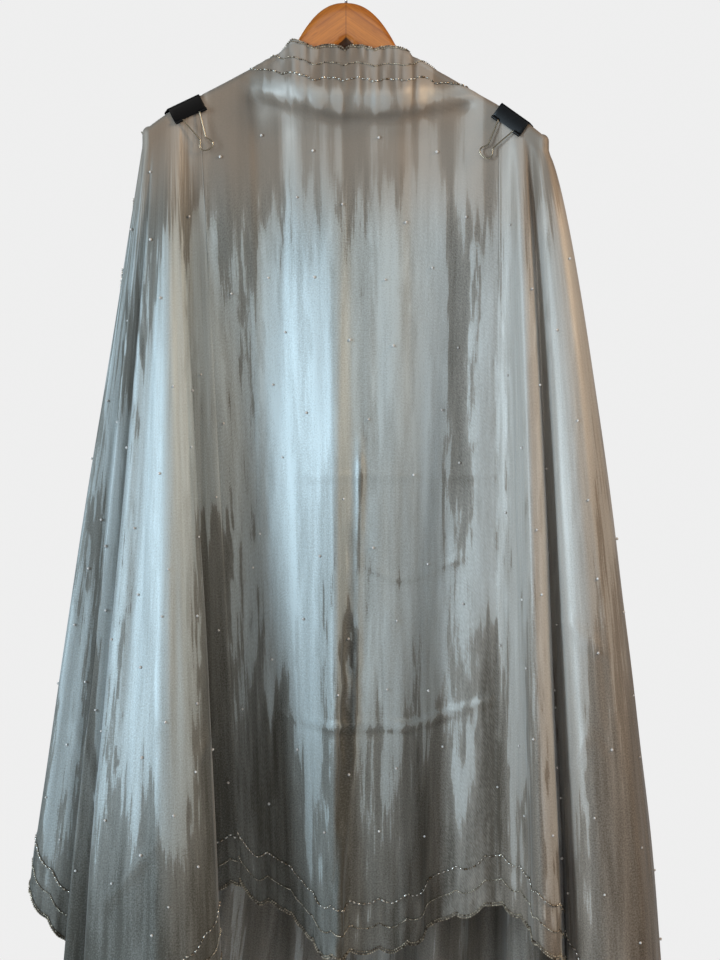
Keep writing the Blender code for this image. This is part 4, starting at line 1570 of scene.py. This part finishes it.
class BeadShape(Enum):
    """The four beads that are sewn on."""

    SEED = Bead("seed", "seed_beads", 0.0010, 0.0027, 6, 3, 0.8)
    BUGLE = Bead("bugle", "bugle_beads", 0.00095, 0.0060, 8, 0, 0.9, 0.0036)
    GRAIN = Bead("grain", "gold_grains", 0.00095, 0.0023, 5, 3, 0.8)
    PEARL = Bead("pearl", "pearls", 0.0015, 0.0, 10, 6, 0.75)


class BeadTree(NodeTree):
    """A Geometry Nodes tree that strings beads along curves or sets them on points."""

    SCALES = (0.84, 1.14)
    SCALE_SEED = 3
    TONE_SEED = 5

    def __init__(self, shape: BeadShape, materials: Materials) -> None:
        """Builds the tree.

        Args:
            shape: The bead.
            materials: Every material by name.
        """
        self.bead = shape.value
        super().__init__(bpy.data.node_groups.new(f"{self.bead.name}_string", "GeometryNodeTree"))
        face = self.tree.interface
        face.new_socket("Geometry", in_out="INPUT", socket_type="NodeSocketGeometry")
        self.sizes = {
            name: face.new_socket(name, in_out="INPUT", socket_type="NodeSocketFloat").identifier
            for name in ("Pitch", "Radius", "Length")
        }
        face.new_socket("Geometry", in_out="OUTPUT", socket_type="NodeSocketGeometry")
        start = self.add("NodeGroupInput").outputs
        put = self.add("GeometryNodeInstanceOnPoints", Instance=self.bead_mesh(start), Points=start["Geometry"])
        if self.bead.pitch:
            string = self.add(
                "GeometryNodeCurveToPoints", mode="LENGTH", Curve=start["Geometry"], Length=start["Pitch"]
            ).outputs
            turn = self.add("FunctionNodeAlignRotationToVector", axis="Z", Vector=string["Tangent"])
            self.feed(string["Points"], put.inputs["Points"])
            self.feed(turn.outputs["Rotation"], put.inputs["Rotation"])
        self.feed(self.random(self.SCALE_SEED, *self.SCALES), put.inputs["Scale"])
        mark = self.add(
            "GeometryNodeStoreNamedAttribute", domain="INSTANCE", data_type="FLOAT", Name="bead_tone",
            Geometry=put.outputs["Instances"], Value=self.random(self.TONE_SEED, 0.0, 1.0),
        )
        real = self.add("GeometryNodeRealizeInstances", Geometry=mark.outputs["Geometry"])
        dress = self.add(
            "GeometryNodeSetMaterial", Material=materials[self.bead.finish], Geometry=real.outputs["Geometry"]
        )
        self.add("NodeGroupOutput", Geometry=dress.outputs["Geometry"])

    def random(self, seed: int, low: float, high: float) -> bpy.types.NodeSocket:
        """A random number for each bead, with a fixed seed.

        Args:
            seed: The seed.
            low: Least number.
            high: Greatest number.

        Returns:
            The number.
        """
        node = self.add("FunctionNodeRandomValue", data_type="FLOAT", Seed=seed)
        numbers = [socket for socket in node.inputs if socket.type == "VALUE"]
        numbers[0].default_value, numbers[1].default_value = low, high
        return next(socket for socket in node.outputs if socket.type == "VALUE")

    def bead_mesh(self, start: bpy.types.bpy_prop_collection) -> bpy.types.NodeSocket:
        """Mesh of one bead, sized by the tree's inputs.

        Args:
            start: Outputs of the tree's input node.

        Returns:
            The mesh of one bead.
        """
        if self.bead.rings:
            sizes = {"Segments": self.bead.facets, "Rings": self.bead.rings}
            mesh = self.add("GeometryNodeMeshUVSphere", Radius=start["Radius"], **sizes)
        else:
            sizes = {"Vertices": self.bead.facets, "Depth": start["Length"]}
            mesh = self.add("GeometryNodeMeshCylinder", Radius=start["Radius"], **sizes)
        return self.add("GeometryNodeSetShadeSmooth", Geometry=mesh.outputs["Mesh"]).outputs["Geometry"]

    def realised(self, name: str, holder: bpy.types.Object, pitch: float = 0.0) -> bpy.types.Mesh:
        """Runs the tree on a holder and removes it.

        Args:
            name: Name of the mesh.
            holder: Object with the curves or points.
            pitch: Distance between beads, where it isn't the bead's own.

        Returns:
            The plain mesh.
        """
        modifier = holder.modifiers.new("beads", "NODES")
        modifier.node_group = self.tree
        sizes = {"Pitch": pitch or self.bead.pitch, "Radius": self.bead.radius, "Length": self.bead.length}
        for key, value in sizes.items():
            modifier[self.sizes[key]] = value
        return taken_mesh(name, holder)


def curve_holder(lines: Sequence[Sequence[Vector]], radius: float = 0.0, rounds: int = 1) -> bpy.types.Object:
    """An object with one poly curve for each line, with a round section where radius isn't 0.

    Args:
        lines: The lines.
        radius: Half the thickness of the section, or 0.
        rounds: Bevel resolution.

    Returns:
        The object.
    """
    curve = bpy.data.curves.new("line", "CURVE")
    curve.dimensions = "3D"
    curve.bevel_depth, curve.bevel_resolution = radius, rounds
    curve.use_fill_caps = radius > 0
    for line in lines:
        run = curve.splines.new("POLY")
        run.points.add(len(line) - 1)
        for place, point in zip(run.points, line):
            place.co = (*point, 1)
    return linked("line", curve)


def joined_mesh(name: str, meshes: Sequence[bpy.types.Mesh]) -> bpy.types.Mesh:
    """One mesh from several with their materials kept.

    Args:
        name: Name of the new mesh.
        meshes: Meshes to join, which are used up.

    Returns:
        The joined mesh.
    """
    objects = [linked(name, mesh) for mesh in meshes]
    with bpy.context.temp_override(
        active_object=objects[0], selected_objects=objects, selected_editable_objects=objects
    ):
        bpy.ops.object.join()
    mesh = objects[0].data
    mesh.name = name
    bpy.data.objects.remove(objects[0], do_unlink=True)
    return mesh


# ---------------------------------------------------------------- the cloth and what is sewn on it

# The falls: side, whether they hang behind, columns and rows
FALLS = {
    "left_front": (Side.LEFT, False, 206, 196),
    "left_back": (Side.LEFT, True, 110, 170),
    "right_front": (Side.RIGHT, False, 150, 190),
    "right_back": (Side.RIGHT, True, 196, 200),
}


@dataclass
class Drape:
    """The hung cloth with its beaded border and pearls."""

    materials: Materials
    wall: float = 0.0006
    panel_grid: tuple[int, int] = (128, 232)
    edge_levels: tuple[float, float] = (0.0010, 0.0039)
    grain_level: float = 0.030
    bugle_level: float = 0.058
    pearl_spacing: tuple[float, float] = (0.070, 0.082)
    pearl_scatter: tuple[float, float] = (0.009, 0.011)
    pearl_seed: int = 77
    pearl_steps: tuple[int, int] = (-18, 23)
    pearl_start: float = 0.6
    pearl_clear: tuple[float, float] = (0.006, 0.004)
    pearl_from: float = 0.03
    area_steps: int = 400
    widest_ray: float = math.radians(88)

    def __post_init__(self) -> None:
        """Hangs the cloth and builds the bead trees."""
        self.cloth = HungCloth()
        self.grids = {"panel": self.cloth.panel(*self.panel_grid)}
        for key, row in FALLS.items():
            self.grids[key] = self.cloth.falls(*row)
        self.trees = {shape: BeadTree(shape, self.materials) for shape in BeadShape}

    def build_cloth(self) -> list[bpy.types.Object]:
        """Builds the five stretches of cloth.

        Returns:
            The five finished objects.
        """
        made = []
        for key, grid in self.grids.items():
            obj = shell_object(grid, self.wall, self.materials["tissue_silk"])
            falls = (key.replace("_", "_falls_"),)
            nodes = ("front_panel", "left_turnover", "right_turnover") if key == "panel" else falls
            settled(obj, "tissue_silk", *nodes)
            width, length, area = self.flat_size(key)
            made.append(obj)
        return made

    def flat_size(self, key: str) -> tuple[float, float, float]:
        """Width, length and area of the flat cut of a stretch, in metres.

        Args:
            key: The stretch.

        Returns:
            Its width, length and area. The area of a fall is that of its surface.
        """
        if key == "panel":
            width = PANEL[-1][0] - PANEL[0][0]
            return width, CLOTH.width, width * CLOTH.width
        side, behind, *_ = FALLS[key]
        split = self.cloth.split(side)
        shares = np.linspace(*((split, 1.0) if behind else (0.0, split)), self.area_steps)
        fold = self.cloth.fold_columns(side, shares)
        reach = CLOTH.ray_length(side, fold[:, 1])
        width, length = float((reach * np.sin(fold[:, 1])).max()), float((reach * np.cos(fold[:, 1])).max())
        points = self.grids[key].points
        rows, columns = np.diff(points, axis=0)[:, :-1], np.diff(points, axis=1)[:-1]
        area = float(np.sum(np.linalg.norm(np.cross(rows, columns), axis=-1)))
        return width, length, area

    def border_lines(self, key: str, level: float, shape: BeadShape) -> list[list[Vector]]:
        """Lines for beads at a distance inside the cloth's edge.

        Args:
            key: The stretch whose hem, and end at the back, they follow, or "neck".
            level: Distance inside the edge.
            shape: The bead, which sets their height over the cloth.

        Returns:
            The lines.
        """
        grid = self.grids["panel" if key == "neck" else key]
        lift = self.wall / 2 + shape.value.radius * shape.value.sit
        lines = [grid.line(grid.top if key == "neck" else grid.inset, level, lift)]
        if key.endswith("back"):
            beside = np.maximum(grid.top - CLOTH.clip_inset, 0) + 1e-6
            lines.append(grid.line(beside, level, lift, by_rows=True))
        return [line for line in lines if len(line) > 3]

    def strung(self, name: str, shape: BeadShape, lines: list, pitch: float = 0.0) -> bpy.types.Mesh:
        """Beads along lines, at their own pitch or another."""
        return self.trees[shape].realised(name, curve_holder(lines), pitch)

    def build_borders(self) -> list[bpy.types.Object]:
        """Strings the three border lines of the neck and of every hem.

        Returns:
            The finished objects.
        """
        made = []
        for key in (*self.grids, "neck"):
            stem = {"panel": "front_hem", "neck": "neck"}.get(key, f"{key}_hem")
            edges = [line for level in self.edge_levels for line in self.border_lines(key, level, BeadShape.SEED)]
            grains = self.border_lines(key, self.grain_level, BeadShape.GRAIN)
            rows = self.border_lines(key, self.bugle_level, BeadShape.BUGLE)
            pitch = BeadShape.BUGLE.value.pitch
            between = [shifted_line(row, pitch / 2) for row in rows]
            pair = [
                self.strung("bugles", BeadShape.BUGLE, rows), self.strung("seeds", BeadShape.SEED, between, pitch)
            ]
            for node, mesh in (
                ("edge", self.strung(f"{stem}_edge_beads", BeadShape.SEED, edges)),
                ("cord_line", self.strung(f"{stem}_gold_beads", BeadShape.GRAIN, grains)),
                ("bugle_line", joined_mesh(f"{stem}_bugle_beads", pair)),
            ):
                made.append(settled(linked(mesh.name, mesh), "bead_trim", f"{stem}_{node}"))
        return made

    def build_pearls(self) -> bpy.types.Object:
        """Sews pearls on a loose grid over the whole cloth.

        Returns:
            The finished object.
        """
        rng = np.random.default_rng(self.pearl_seed)
        found = []
        (wide, high), (stray, slip) = self.pearl_spacing, self.pearl_scatter
        first, last = CLOTH.border + self.pearl_clear[0], CLOTH.width - CLOTH.border - self.pearl_clear[1]
        for row in range(int(CLOTH.width / high)):
            for step in range(*self.pearl_steps):
                s = (step + 0.5 * (row % 2)) * wide + rng.normal(0, stray)
                v = (row + self.pearl_start) * high + rng.normal(0, slip)
                if first <= v <= last:
                    found.append(self.pearl_place(s, v))
        places = [point for point in found if point]
        LOG.info("pearls: %d", len(places))
        mesh = self.trees[BeadShape.PEARL].realised("pearls", linked("places", plain_mesh("places", places, [])))
        return settled(linked("pearls", mesh), "bead_trim")

    def pearl_place(self, s: float, v: float) -> Vector | None:
        """Where a pearl sits.

        Args:
            s: Place along the flat cloth, 0 over the hook.
            v: Place down the flat cloth.

        Returns:
            The point, or None off the built cloth.
        """
        pearl = BeadShape.PEARL.value
        lift = self.wall / 2 + pearl.radius * pearl.sit
        left, right = PANEL[0][0], PANEL[-1][0]
        if left < s < right:
            grid = self.grids["panel"]
            column = float(np.interp(s, grid.place[0, :, 0], np.arange(grid.points.shape[1])))
            flap = float(grid.top[-1, int(column)] - grid.place[-1, int(column), 1])
            return grid.at(column, v - flap, lift)
        side = Side.LEFT if s < left else Side.RIGHT
        out, down = abs(s - (left if side is Side.LEFT else right)), v - CLOTH.clip_inset
        angle, q = math.atan2(out, down), math.hypot(out, down)
        reach = float(CLOTH.ray_length(side, np.array([angle]))[0])
        if not 0 < angle < self.widest_ray or not self.pearl_from < q < reach - CLOTH.border:
            return None
        table, split = self.cloth.fold_tables[side], self.cloth.split(side)
        share = float(np.interp(math.degrees(angle), table[:, 1], np.linspace(0, 1, len(table))))
        behind = share >= split
        part = (share - split) / (1 - split) if behind else share / split
        grid = self.grids[f"{side.label}_{'back' if behind else 'front'}"]
        part = 1 - part if side is Side.LEFT else part
        return grid.at(part * (grid.points.shape[1] - 1), q, lift)


def shifted_line(line: Sequence[Vector], start: float) -> list[Vector]:
    """The line without its first stretch of a given length.

    Args:
        line: The line.
        start: Length to leave out.

    Returns:
        The rest of the line.
    """
    run = 0.0
    for index, (a, b) in enumerate(zip(line, line[1:])):
        step = (b - a).length
        if run + step > start:
            return [a.lerp(b, (start - run) / step), *line[index + 1:]]
        run += step
    return list(line)


# ---------------------------------------------------------------- the hanger and its clips


def wire_mesh(name: str, route: Sequence[Vector], radius: float, rounds: int, place: Matrix) -> bpy.types.Mesh:
    """A round wire along a smooth route.

    Args:
        name: Name of the mesh.
        route: Points of its middle line.
        radius: Half its thickness.
        rounds: Bevel resolution.
        place: Matrix from the route's frame to the world.

    Returns:
        The mesh, in world places.
    """
    mesh = taken_mesh(name, curve_holder([[place @ point for point in route]], radius, rounds))
    turn_outwards(mesh, weld=1e-7).shade_smooth()
    return mesh


def rounded_route(points: Sequence[Vector], per_span: int) -> list[Vector]:
    """A smooth line through points, with per_span steps between each two.

    Args:
        points: The points.
        per_span: Steps between each two.

    Returns:
        The points of the smooth line.
    """
    table = np.array([[*point] for point in points])
    ends = np.vstack([2 * table[0] - table[1], table, 2 * table[-1] - table[-2]])
    made = []
    for p0, p1, p2, p3 in zip(ends, ends[1:], ends[2:], ends[3:]):
        for t in np.linspace(0, 1, per_span, endpoint=False):
            bend = (2 * p0 - 5 * p1 + 4 * p2 - p3) * t**2 + (3 * p1 - p0 - 3 * p2 + p3) * t**3
            made.append(Vector(0.5 * (2 * p1 + (p2 - p0) * t + bend)))
    return [*made, Vector(table[-1])]


@dataclass
class WoodenHanger:
    """The contoured wooden hanger and its wire hook."""

    materials: Materials
    wire: float = 0.0017
    inside: float = 0.019
    gap: float = 0.0003
    stem: tuple[tuple[float, float], ...] = ((0, -0.054), (0.0012, -0.0495), (0.0052, -0.0440), (0.0108, -0.0387))
    section_points: int = 40
    # Places of the sections: over the crown, along the arms, and round the tips by angle
    crown_places: tuple[float, float, int] = (-0.080, 0.080, 81)
    arm_places: tuple[float, float, int] = (0.085, 0.212, 26)
    tip_turns: tuple[float, float, int] = (0.2, 1.5, 9)
    hook_turns: tuple[int, int, int] = (-38, 216, 12)
    notch_depth: float = 0.0032
    notch_edge: float = 0.0012

    def build_body(self) -> bpy.types.Object:
        """Lofts the wood through its rounded sections.

        Returns:
            The finished object.
        """
        tip = HANGER.end_x - HANGER.thick * (1 - np.sin(np.linspace(*self.tip_turns)))
        outer = np.unique(np.round(np.concatenate([np.linspace(*self.arm_places), tip]), 6))
        places = np.concatenate([-outer[::-1], np.linspace(*self.crown_places), outer])
        sections = [self.notched(HANGER.section(float(x), self.section_points)) for x in places]
        count, rings = self.section_points, len(sections)
        ends = [tuple(range(count))[::-1], tuple(range((rings - 1) * count, rings * count))]
        faces = ring_faces(rings, count, False) + ends
        mesh = turn_outwards(plain_mesh("wooden_body", np.concatenate(sections).tolist(), faces))
        mesh.shade_smooth()
        obj = dressed("wooden_body", mesh, self.materials["varnished_wood"])
        return settled(obj, "hanger_wood", "hanger_body")

    def notched(self, section: np.ndarray) -> np.ndarray:
        """The section with the small wedge cut in front below the crown's seam.

        Args:
            section: Points round the wood.

        Returns:
            The moved points.
        """
        x, y, z = section.T
        wedge = smooth((NOTCH_TOP - z - NOTCH_SLOPE * np.abs(x)) / self.notch_edge) * (y < HANGER.arm_y(x))
        return np.column_stack([x, y + self.notch_depth * wedge, z])

    def build_hook(self) -> bpy.types.Object:
        """Bends the question-mark hook.

        Returns:
            The finished object.
        """
        ring = self.inside + self.wire
        route = [Vector((0, 0, HANGER.crown_top + self.gap))]
        route += [Vector((x, 0, z)) for x, z in self.stem]
        for turn in map(math.radians, range(*self.hook_turns)):
            route.append(Vector((ring * math.cos(turn), 0, -self.inside + ring * math.sin(turn))))
        mesh = wire_mesh("wire_hook", rounded_route(route, 4), self.wire, 6, Matrix.Identity(4))
        return settled(dressed("wire_hook", mesh, self.materials["hook_steel"]), "hook_steel", "hanger_hook")


# Half of a clip's wire handle, from its end in the rolled lip to the middle of its loop: across, down
HANDLE_HALF = (
    (0.0182, 0.0), (0.0112, 0.0), (0.0104, 0.0007), (0.0101, 0.0024), (0.0068, 0.0150), (0.0040, 0.0262),
    (0.0039, 0.0285), (0.0053, 0.0310), (0.0073, 0.0340), (0.0078, 0.0368), (0.0066, 0.0395), (0.0040, 0.0411),
    (0.0, 0.0416),
)


@dataclass
class SpringClip:
    """A black spring clip with two wire handles, in a frame with x along the arm and z out from its ridge."""

    materials: Materials
    side: Side
    x: float
    tilt: float
    width: float = 0.040
    height: float = 0.020
    plate: float = 0.0008
    jaw_front: float = -0.0103
    jaw_back: float = 0.0122
    spine_z: float = 0.0016
    spine_corner: float = 0.0022
    soft_edge: float = 0.00022
    roll_radius: float = 0.0019
    roll_bore: float = 0.0010
    roll_offset: float = 0.00115
    roll_start: float = 0.0114
    roll_end: float = 0.0003
    roll_soft: float = 0.0002
    roll_points: int = 28
    wire: float = 0.0008
    sharp: float = math.radians(38)
    swing: tuple[float, float] = (1.5, 13.0)

    def frame(self) -> Matrix:
        """Matrix of the clip's own frame.

        Returns:
            The matrix from the clip's frame to the world.
        """
        slope = float(HANGER.arm_y(self.x + 0.001) - HANGER.arm_y(self.x - 0.001)) / 0.002
        along = Vector((1, slope, math.tan(math.radians(self.tilt)))).normalized()
        through = Vector((-slope, 1, 0)).normalized()
        place = Matrix((along, through, along.cross(through))).transposed().to_4x4()
        place.translation = Vector((self.x, float(HANGER.arm_y(self.x)), float(HANGER.ridge_z(self.x))))
        return place

    def hinges(self) -> tuple[tuple[str, float, float, int], ...]:
        """Name, y, z and facing of the front and back rolled lips.

        Returns:
            One row for each lip, the front one first.
        """
        z = self.spine_z + self.plate / 2 - self.height + self.roll_radius
        return (
            ("front", self.jaw_front - self.plate - self.roll_offset, z, -1),
            ("back", self.jaw_back + self.plate + self.roll_offset, z, 1),
        )

    def profile(self) -> list[tuple[float, float]]:
        """The jaws and spine seen along the arm, as y and z, with rounded corners.

        Returns:
            The points, from the front lip to the back one.
        """
        front, back = self.jaw_front - self.plate / 2, self.jaw_back + self.plate / 2
        spine, lip, corner = self.spine_z + self.plate / 2, self.hinges()[0][2], self.spine_corner
        turns = np.linspace(0, math.pi / 2, 7)
        near = [(corner * (1 - math.cos(turn)), spine - corner * (1 - math.sin(turn))) for turn in turns]
        far = [(back - inwards, z) for inwards, z in reversed(near)]
        return [(front, lip), *((front + inwards, z) for inwards, z in near), *far, (back, lip)]

    def build_plate(self) -> bpy.types.Mesh:
        """Bends the sprung plate.

        Returns:
            The plate's mesh, in the clip's frame.
        """
        half = self.width / 2
        work = bmesh.new()
        rows = []
        for x in np.linspace(-half, half, 13):
            rows.append([work.verts.new((x, y, z)) for y, z in self.profile()])
        for near, far in zip(rows, rows[1:]):
            for a, b, c, d in zip(near, near[1:], far[1:], far):
                work.faces.new((a, b, c, d))
        bmesh.ops.recalc_face_normals(work, faces=work.faces)
        mesh = bpy.data.meshes.new("plate")
        work.to_mesh(mesh)
        work.free()
        plate = dressed("plate", mesh, self.materials["black_enamel"])
        wall = plate.modifiers.new("wall", "SOLIDIFY")
        wall.thickness, wall.offset = self.plate, 0
        soft = plate.modifiers.new("soft", "BEVEL")
        soft.width, soft.segments = self.soft_edge, 2
        return taken_mesh("bent_plate", plate)

    def build_body(self) -> bpy.types.Object:
        """Joins the sprung plate and its rolled lips.

        Returns:
            The finished object.
        """
        end = self.width / 2 - self.roll_end
        rolls = []
        for _, y, z, _ in self.hinges():
            rolls += [self.roll(-end, -self.roll_start, y, z), self.roll(self.roll_start, end, y, z)]
        mesh = joined_mesh(f"{self.side.label}_black_clip", [self.build_plate(), *rolls])
        mesh.transform(self.frame())
        mesh.shade_smooth()
        mesh.set_sharp_from_angle(angle=self.sharp)
        obj = dressed(mesh.name, mesh, self.materials["black_enamel"])
        return settled(obj, "clip_black", f"{self.side.label}_clip_body")

    def roll(self, start: float, stop: float, y: float, z: float) -> bpy.types.Mesh:
        """One rolled lip: a short tube along x.

        Args:
            start: Its first end.
            stop: Its other end.
            y: Depth of its axis.
            z: Height of its axis.

        Returns:
            The mesh, in the clip's frame.
        """
        soft, bore, radius = self.roll_soft, self.roll_bore, self.roll_radius
        first = [(start, bore), (start, radius - soft), (start + soft, radius)]
        outline = [*first, (stop - soft, radius), (stop, radius - soft), (stop, bore)]
        turns = [2 * math.pi * step / self.roll_points for step in range(self.roll_points)]
        points = [(x, y + r * math.cos(turn), z + r * math.sin(turn)) for x, r in outline for turn in turns]
        mesh = turn_outwards(plain_mesh("roll", points, ring_faces(len(outline), self.roll_points, True)))
        mesh.materials.append(self.materials["black_enamel"])
        return mesh

    def build_handles(self) -> list[bpy.types.Object]:
        """Bends the two wire handles.

        Returns:
            The front and the back handle.
        """
        made = []
        half = [Vector((across, 0, -down)) for across, down in HANDLE_HALF]
        route = half + [Vector((-point.x, 0, point.z)) for point in reversed(half[:-1])]
        for (name, y, z, facing), swing in zip(self.hinges(), self.swing):
            turn = Matrix.Rotation(facing * math.radians(swing), 4, "X")
            place = self.frame() @ Matrix.Translation((0, y, z)) @ turn
            node = f"{self.side.label}_clip_handle_{name}"
            mesh = wire_mesh(f"{node}_wire", rounded_route(route, 5), self.wire, 3, place)
            obj = dressed(mesh.name, mesh, self.materials["clip_wire"])
            made.append(settled(obj, "clip_wire", node, body=node))
        return made


# ---------------------------------------------------------------- the studio


@dataclass(frozen=True)
class SoftLight:
    """An area light that looks at a point."""

    name: str
    place: Triple
    aim: Triple
    size: tuple[float, float]
    power: float
    colour: Triple

    def build(self) -> None:
        """Hangs the light."""
        lamp = bpy.data.lights.new(self.name, "AREA")
        lamp.shape = "RECTANGLE"
        lamp.size, lamp.size_y = self.size
        lamp.energy, lamp.color = self.power, self.colour
        obj = linked(self.name, lamp)
        obj.location = self.place
        obj.rotation_euler = (Vector(self.aim) - obj.location).to_track_quat("-Z", "Y").to_euler()


@dataclass
class Studio:
    """Pale floor, soft light and the camera at the picture's place."""

    floor_z: float = -1.66
    floor_reach: float = 1.45
    floor_points: int = 96
    floor_roughness: float = 0.9
    frame_height: float = 960 * PIXEL
    sensor: float = 36.0
    pale: Triple = (0.86, 0.86, 0.86)
    sky: Triple = (0.80, 0.86, 0.92)
    sky_strength: float = 0.22
    lights: tuple[SoftLight, ...] = (
        SoftLight("cool_side", (-1.9, -1.5, -0.35), (0, 0, -0.65), (0.7, 1.5), 44, (0.68, 0.86, 1.0)),
        SoftLight("warm_side", (2.2, -0.9, 0.6), (0, 0, -0.4), (0.7, 1.0), 30, (1.0, 0.76, 0.52)),
        SoftLight("front_fill", (0.2, -3.2, 0.9), (0, 0, -0.6), (2.2, 1.6), 16, (1.0, 0.96, 0.90)),
        SoftLight("back_fill", (-0.6, 2.8, 0.8), (0, 0, -0.7), (2.2, 1.6), 48, (0.96, 0.98, 1.0)),
    )

    def build_floor(self) -> None:
        """Lays the plain floor."""
        turns = np.linspace(0, 2 * np.pi, self.floor_points, endpoint=False)
        rim = [(self.floor_reach * np.cos(turn), self.floor_reach * np.sin(turn), self.floor_z) for turn in turns]
        mesh = plain_mesh("studio_floor", rim, [tuple(range(len(rim)))])
        pale = ShaderTree("studio_pale").finish(Base_Color=(*self.pale, 1), Roughness=self.floor_roughness)
        dressed(mesh.name, mesh, pale)

    def build_world(self) -> None:
        """Fills the surroundings with soft pale light, paler where the camera sees them."""
        world = bpy.data.worlds.new("studio_world")
        bpy.context.scene.world = world
        world.use_nodes = True
        tree = NodeTree(world.node_tree)
        lit = world.node_tree.nodes["Background"]
        lit.inputs["Color"].default_value = (*self.sky, 1)
        lit.inputs["Strength"].default_value = self.sky_strength
        seen = tree.add("ShaderNodeBackground", Color=(*self.pale, 1), Strength=1.0)
        mix = tree.add("ShaderNodeMixShader", Fac=tree.add("ShaderNodeLightPath").outputs["Is Camera Ray"])
        for index, source in ((1, lit), (2, seen)):
            tree.feed(source.outputs[0], mix.inputs[index])
        tree.feed(mix.outputs[0], world.node_tree.nodes["World Output"].inputs["Surface"])

    def build_camera(self) -> None:
        """Sets the camera straight in front, framed as the picture is."""
        data = bpy.data.cameras.new("studio_camera")
        data.sensor_width = self.sensor
        data.lens = self.sensor * VIEW_DISTANCE / self.frame_height
        camera = linked("studio_camera", data)
        camera.location = VIEW_TARGET + Vector((0, -VIEW_DISTANCE, 0))
        camera.rotation_euler = (math.pi / 2, 0, 0)
        bpy.context.scene.camera = camera

    def build(self) -> None:
        """Builds the studio."""
        self.build_camera()
        self.build_floor()
        self.build_world()
        for light in self.lights:
            light.build()
        bpy.context.scene.view_settings.view_transform = "Standard"


# The clips: side, place along the arm and tilt in degrees
CLIPS = ((Side.LEFT, -0.184, 29.5), (Side.RIGHT, 0.192, -39.0))


def main() -> None:
    """Builds the studio, the hanger, the clips and the cloth."""
    logging.basicConfig(level=logging.INFO, format="%(name)s: %(message)s")
    Studio().build()
    materials = {finish.name: finish.material() for finish in FINISHES}
    hanger = WoodenHanger(materials)
    pieces = [hanger.build_body(), hanger.build_hook()]
    for row in CLIPS:
        clip = SpringClip(materials, *row)
        pieces += [clip.build_body(), *clip.build_handles()]
    drape = Drape(materials)
    pieces += [*drape.build_cloth(), *drape.build_borders(), drape.build_pearls()]
    for piece in pieces:
        triangles = sum(len(face.vertices) - 2 for face in piece.data.polygons)
        LOG.info("%s: %d triangles", piece.name, triangles)


if __name__ == "__main__":
    main()
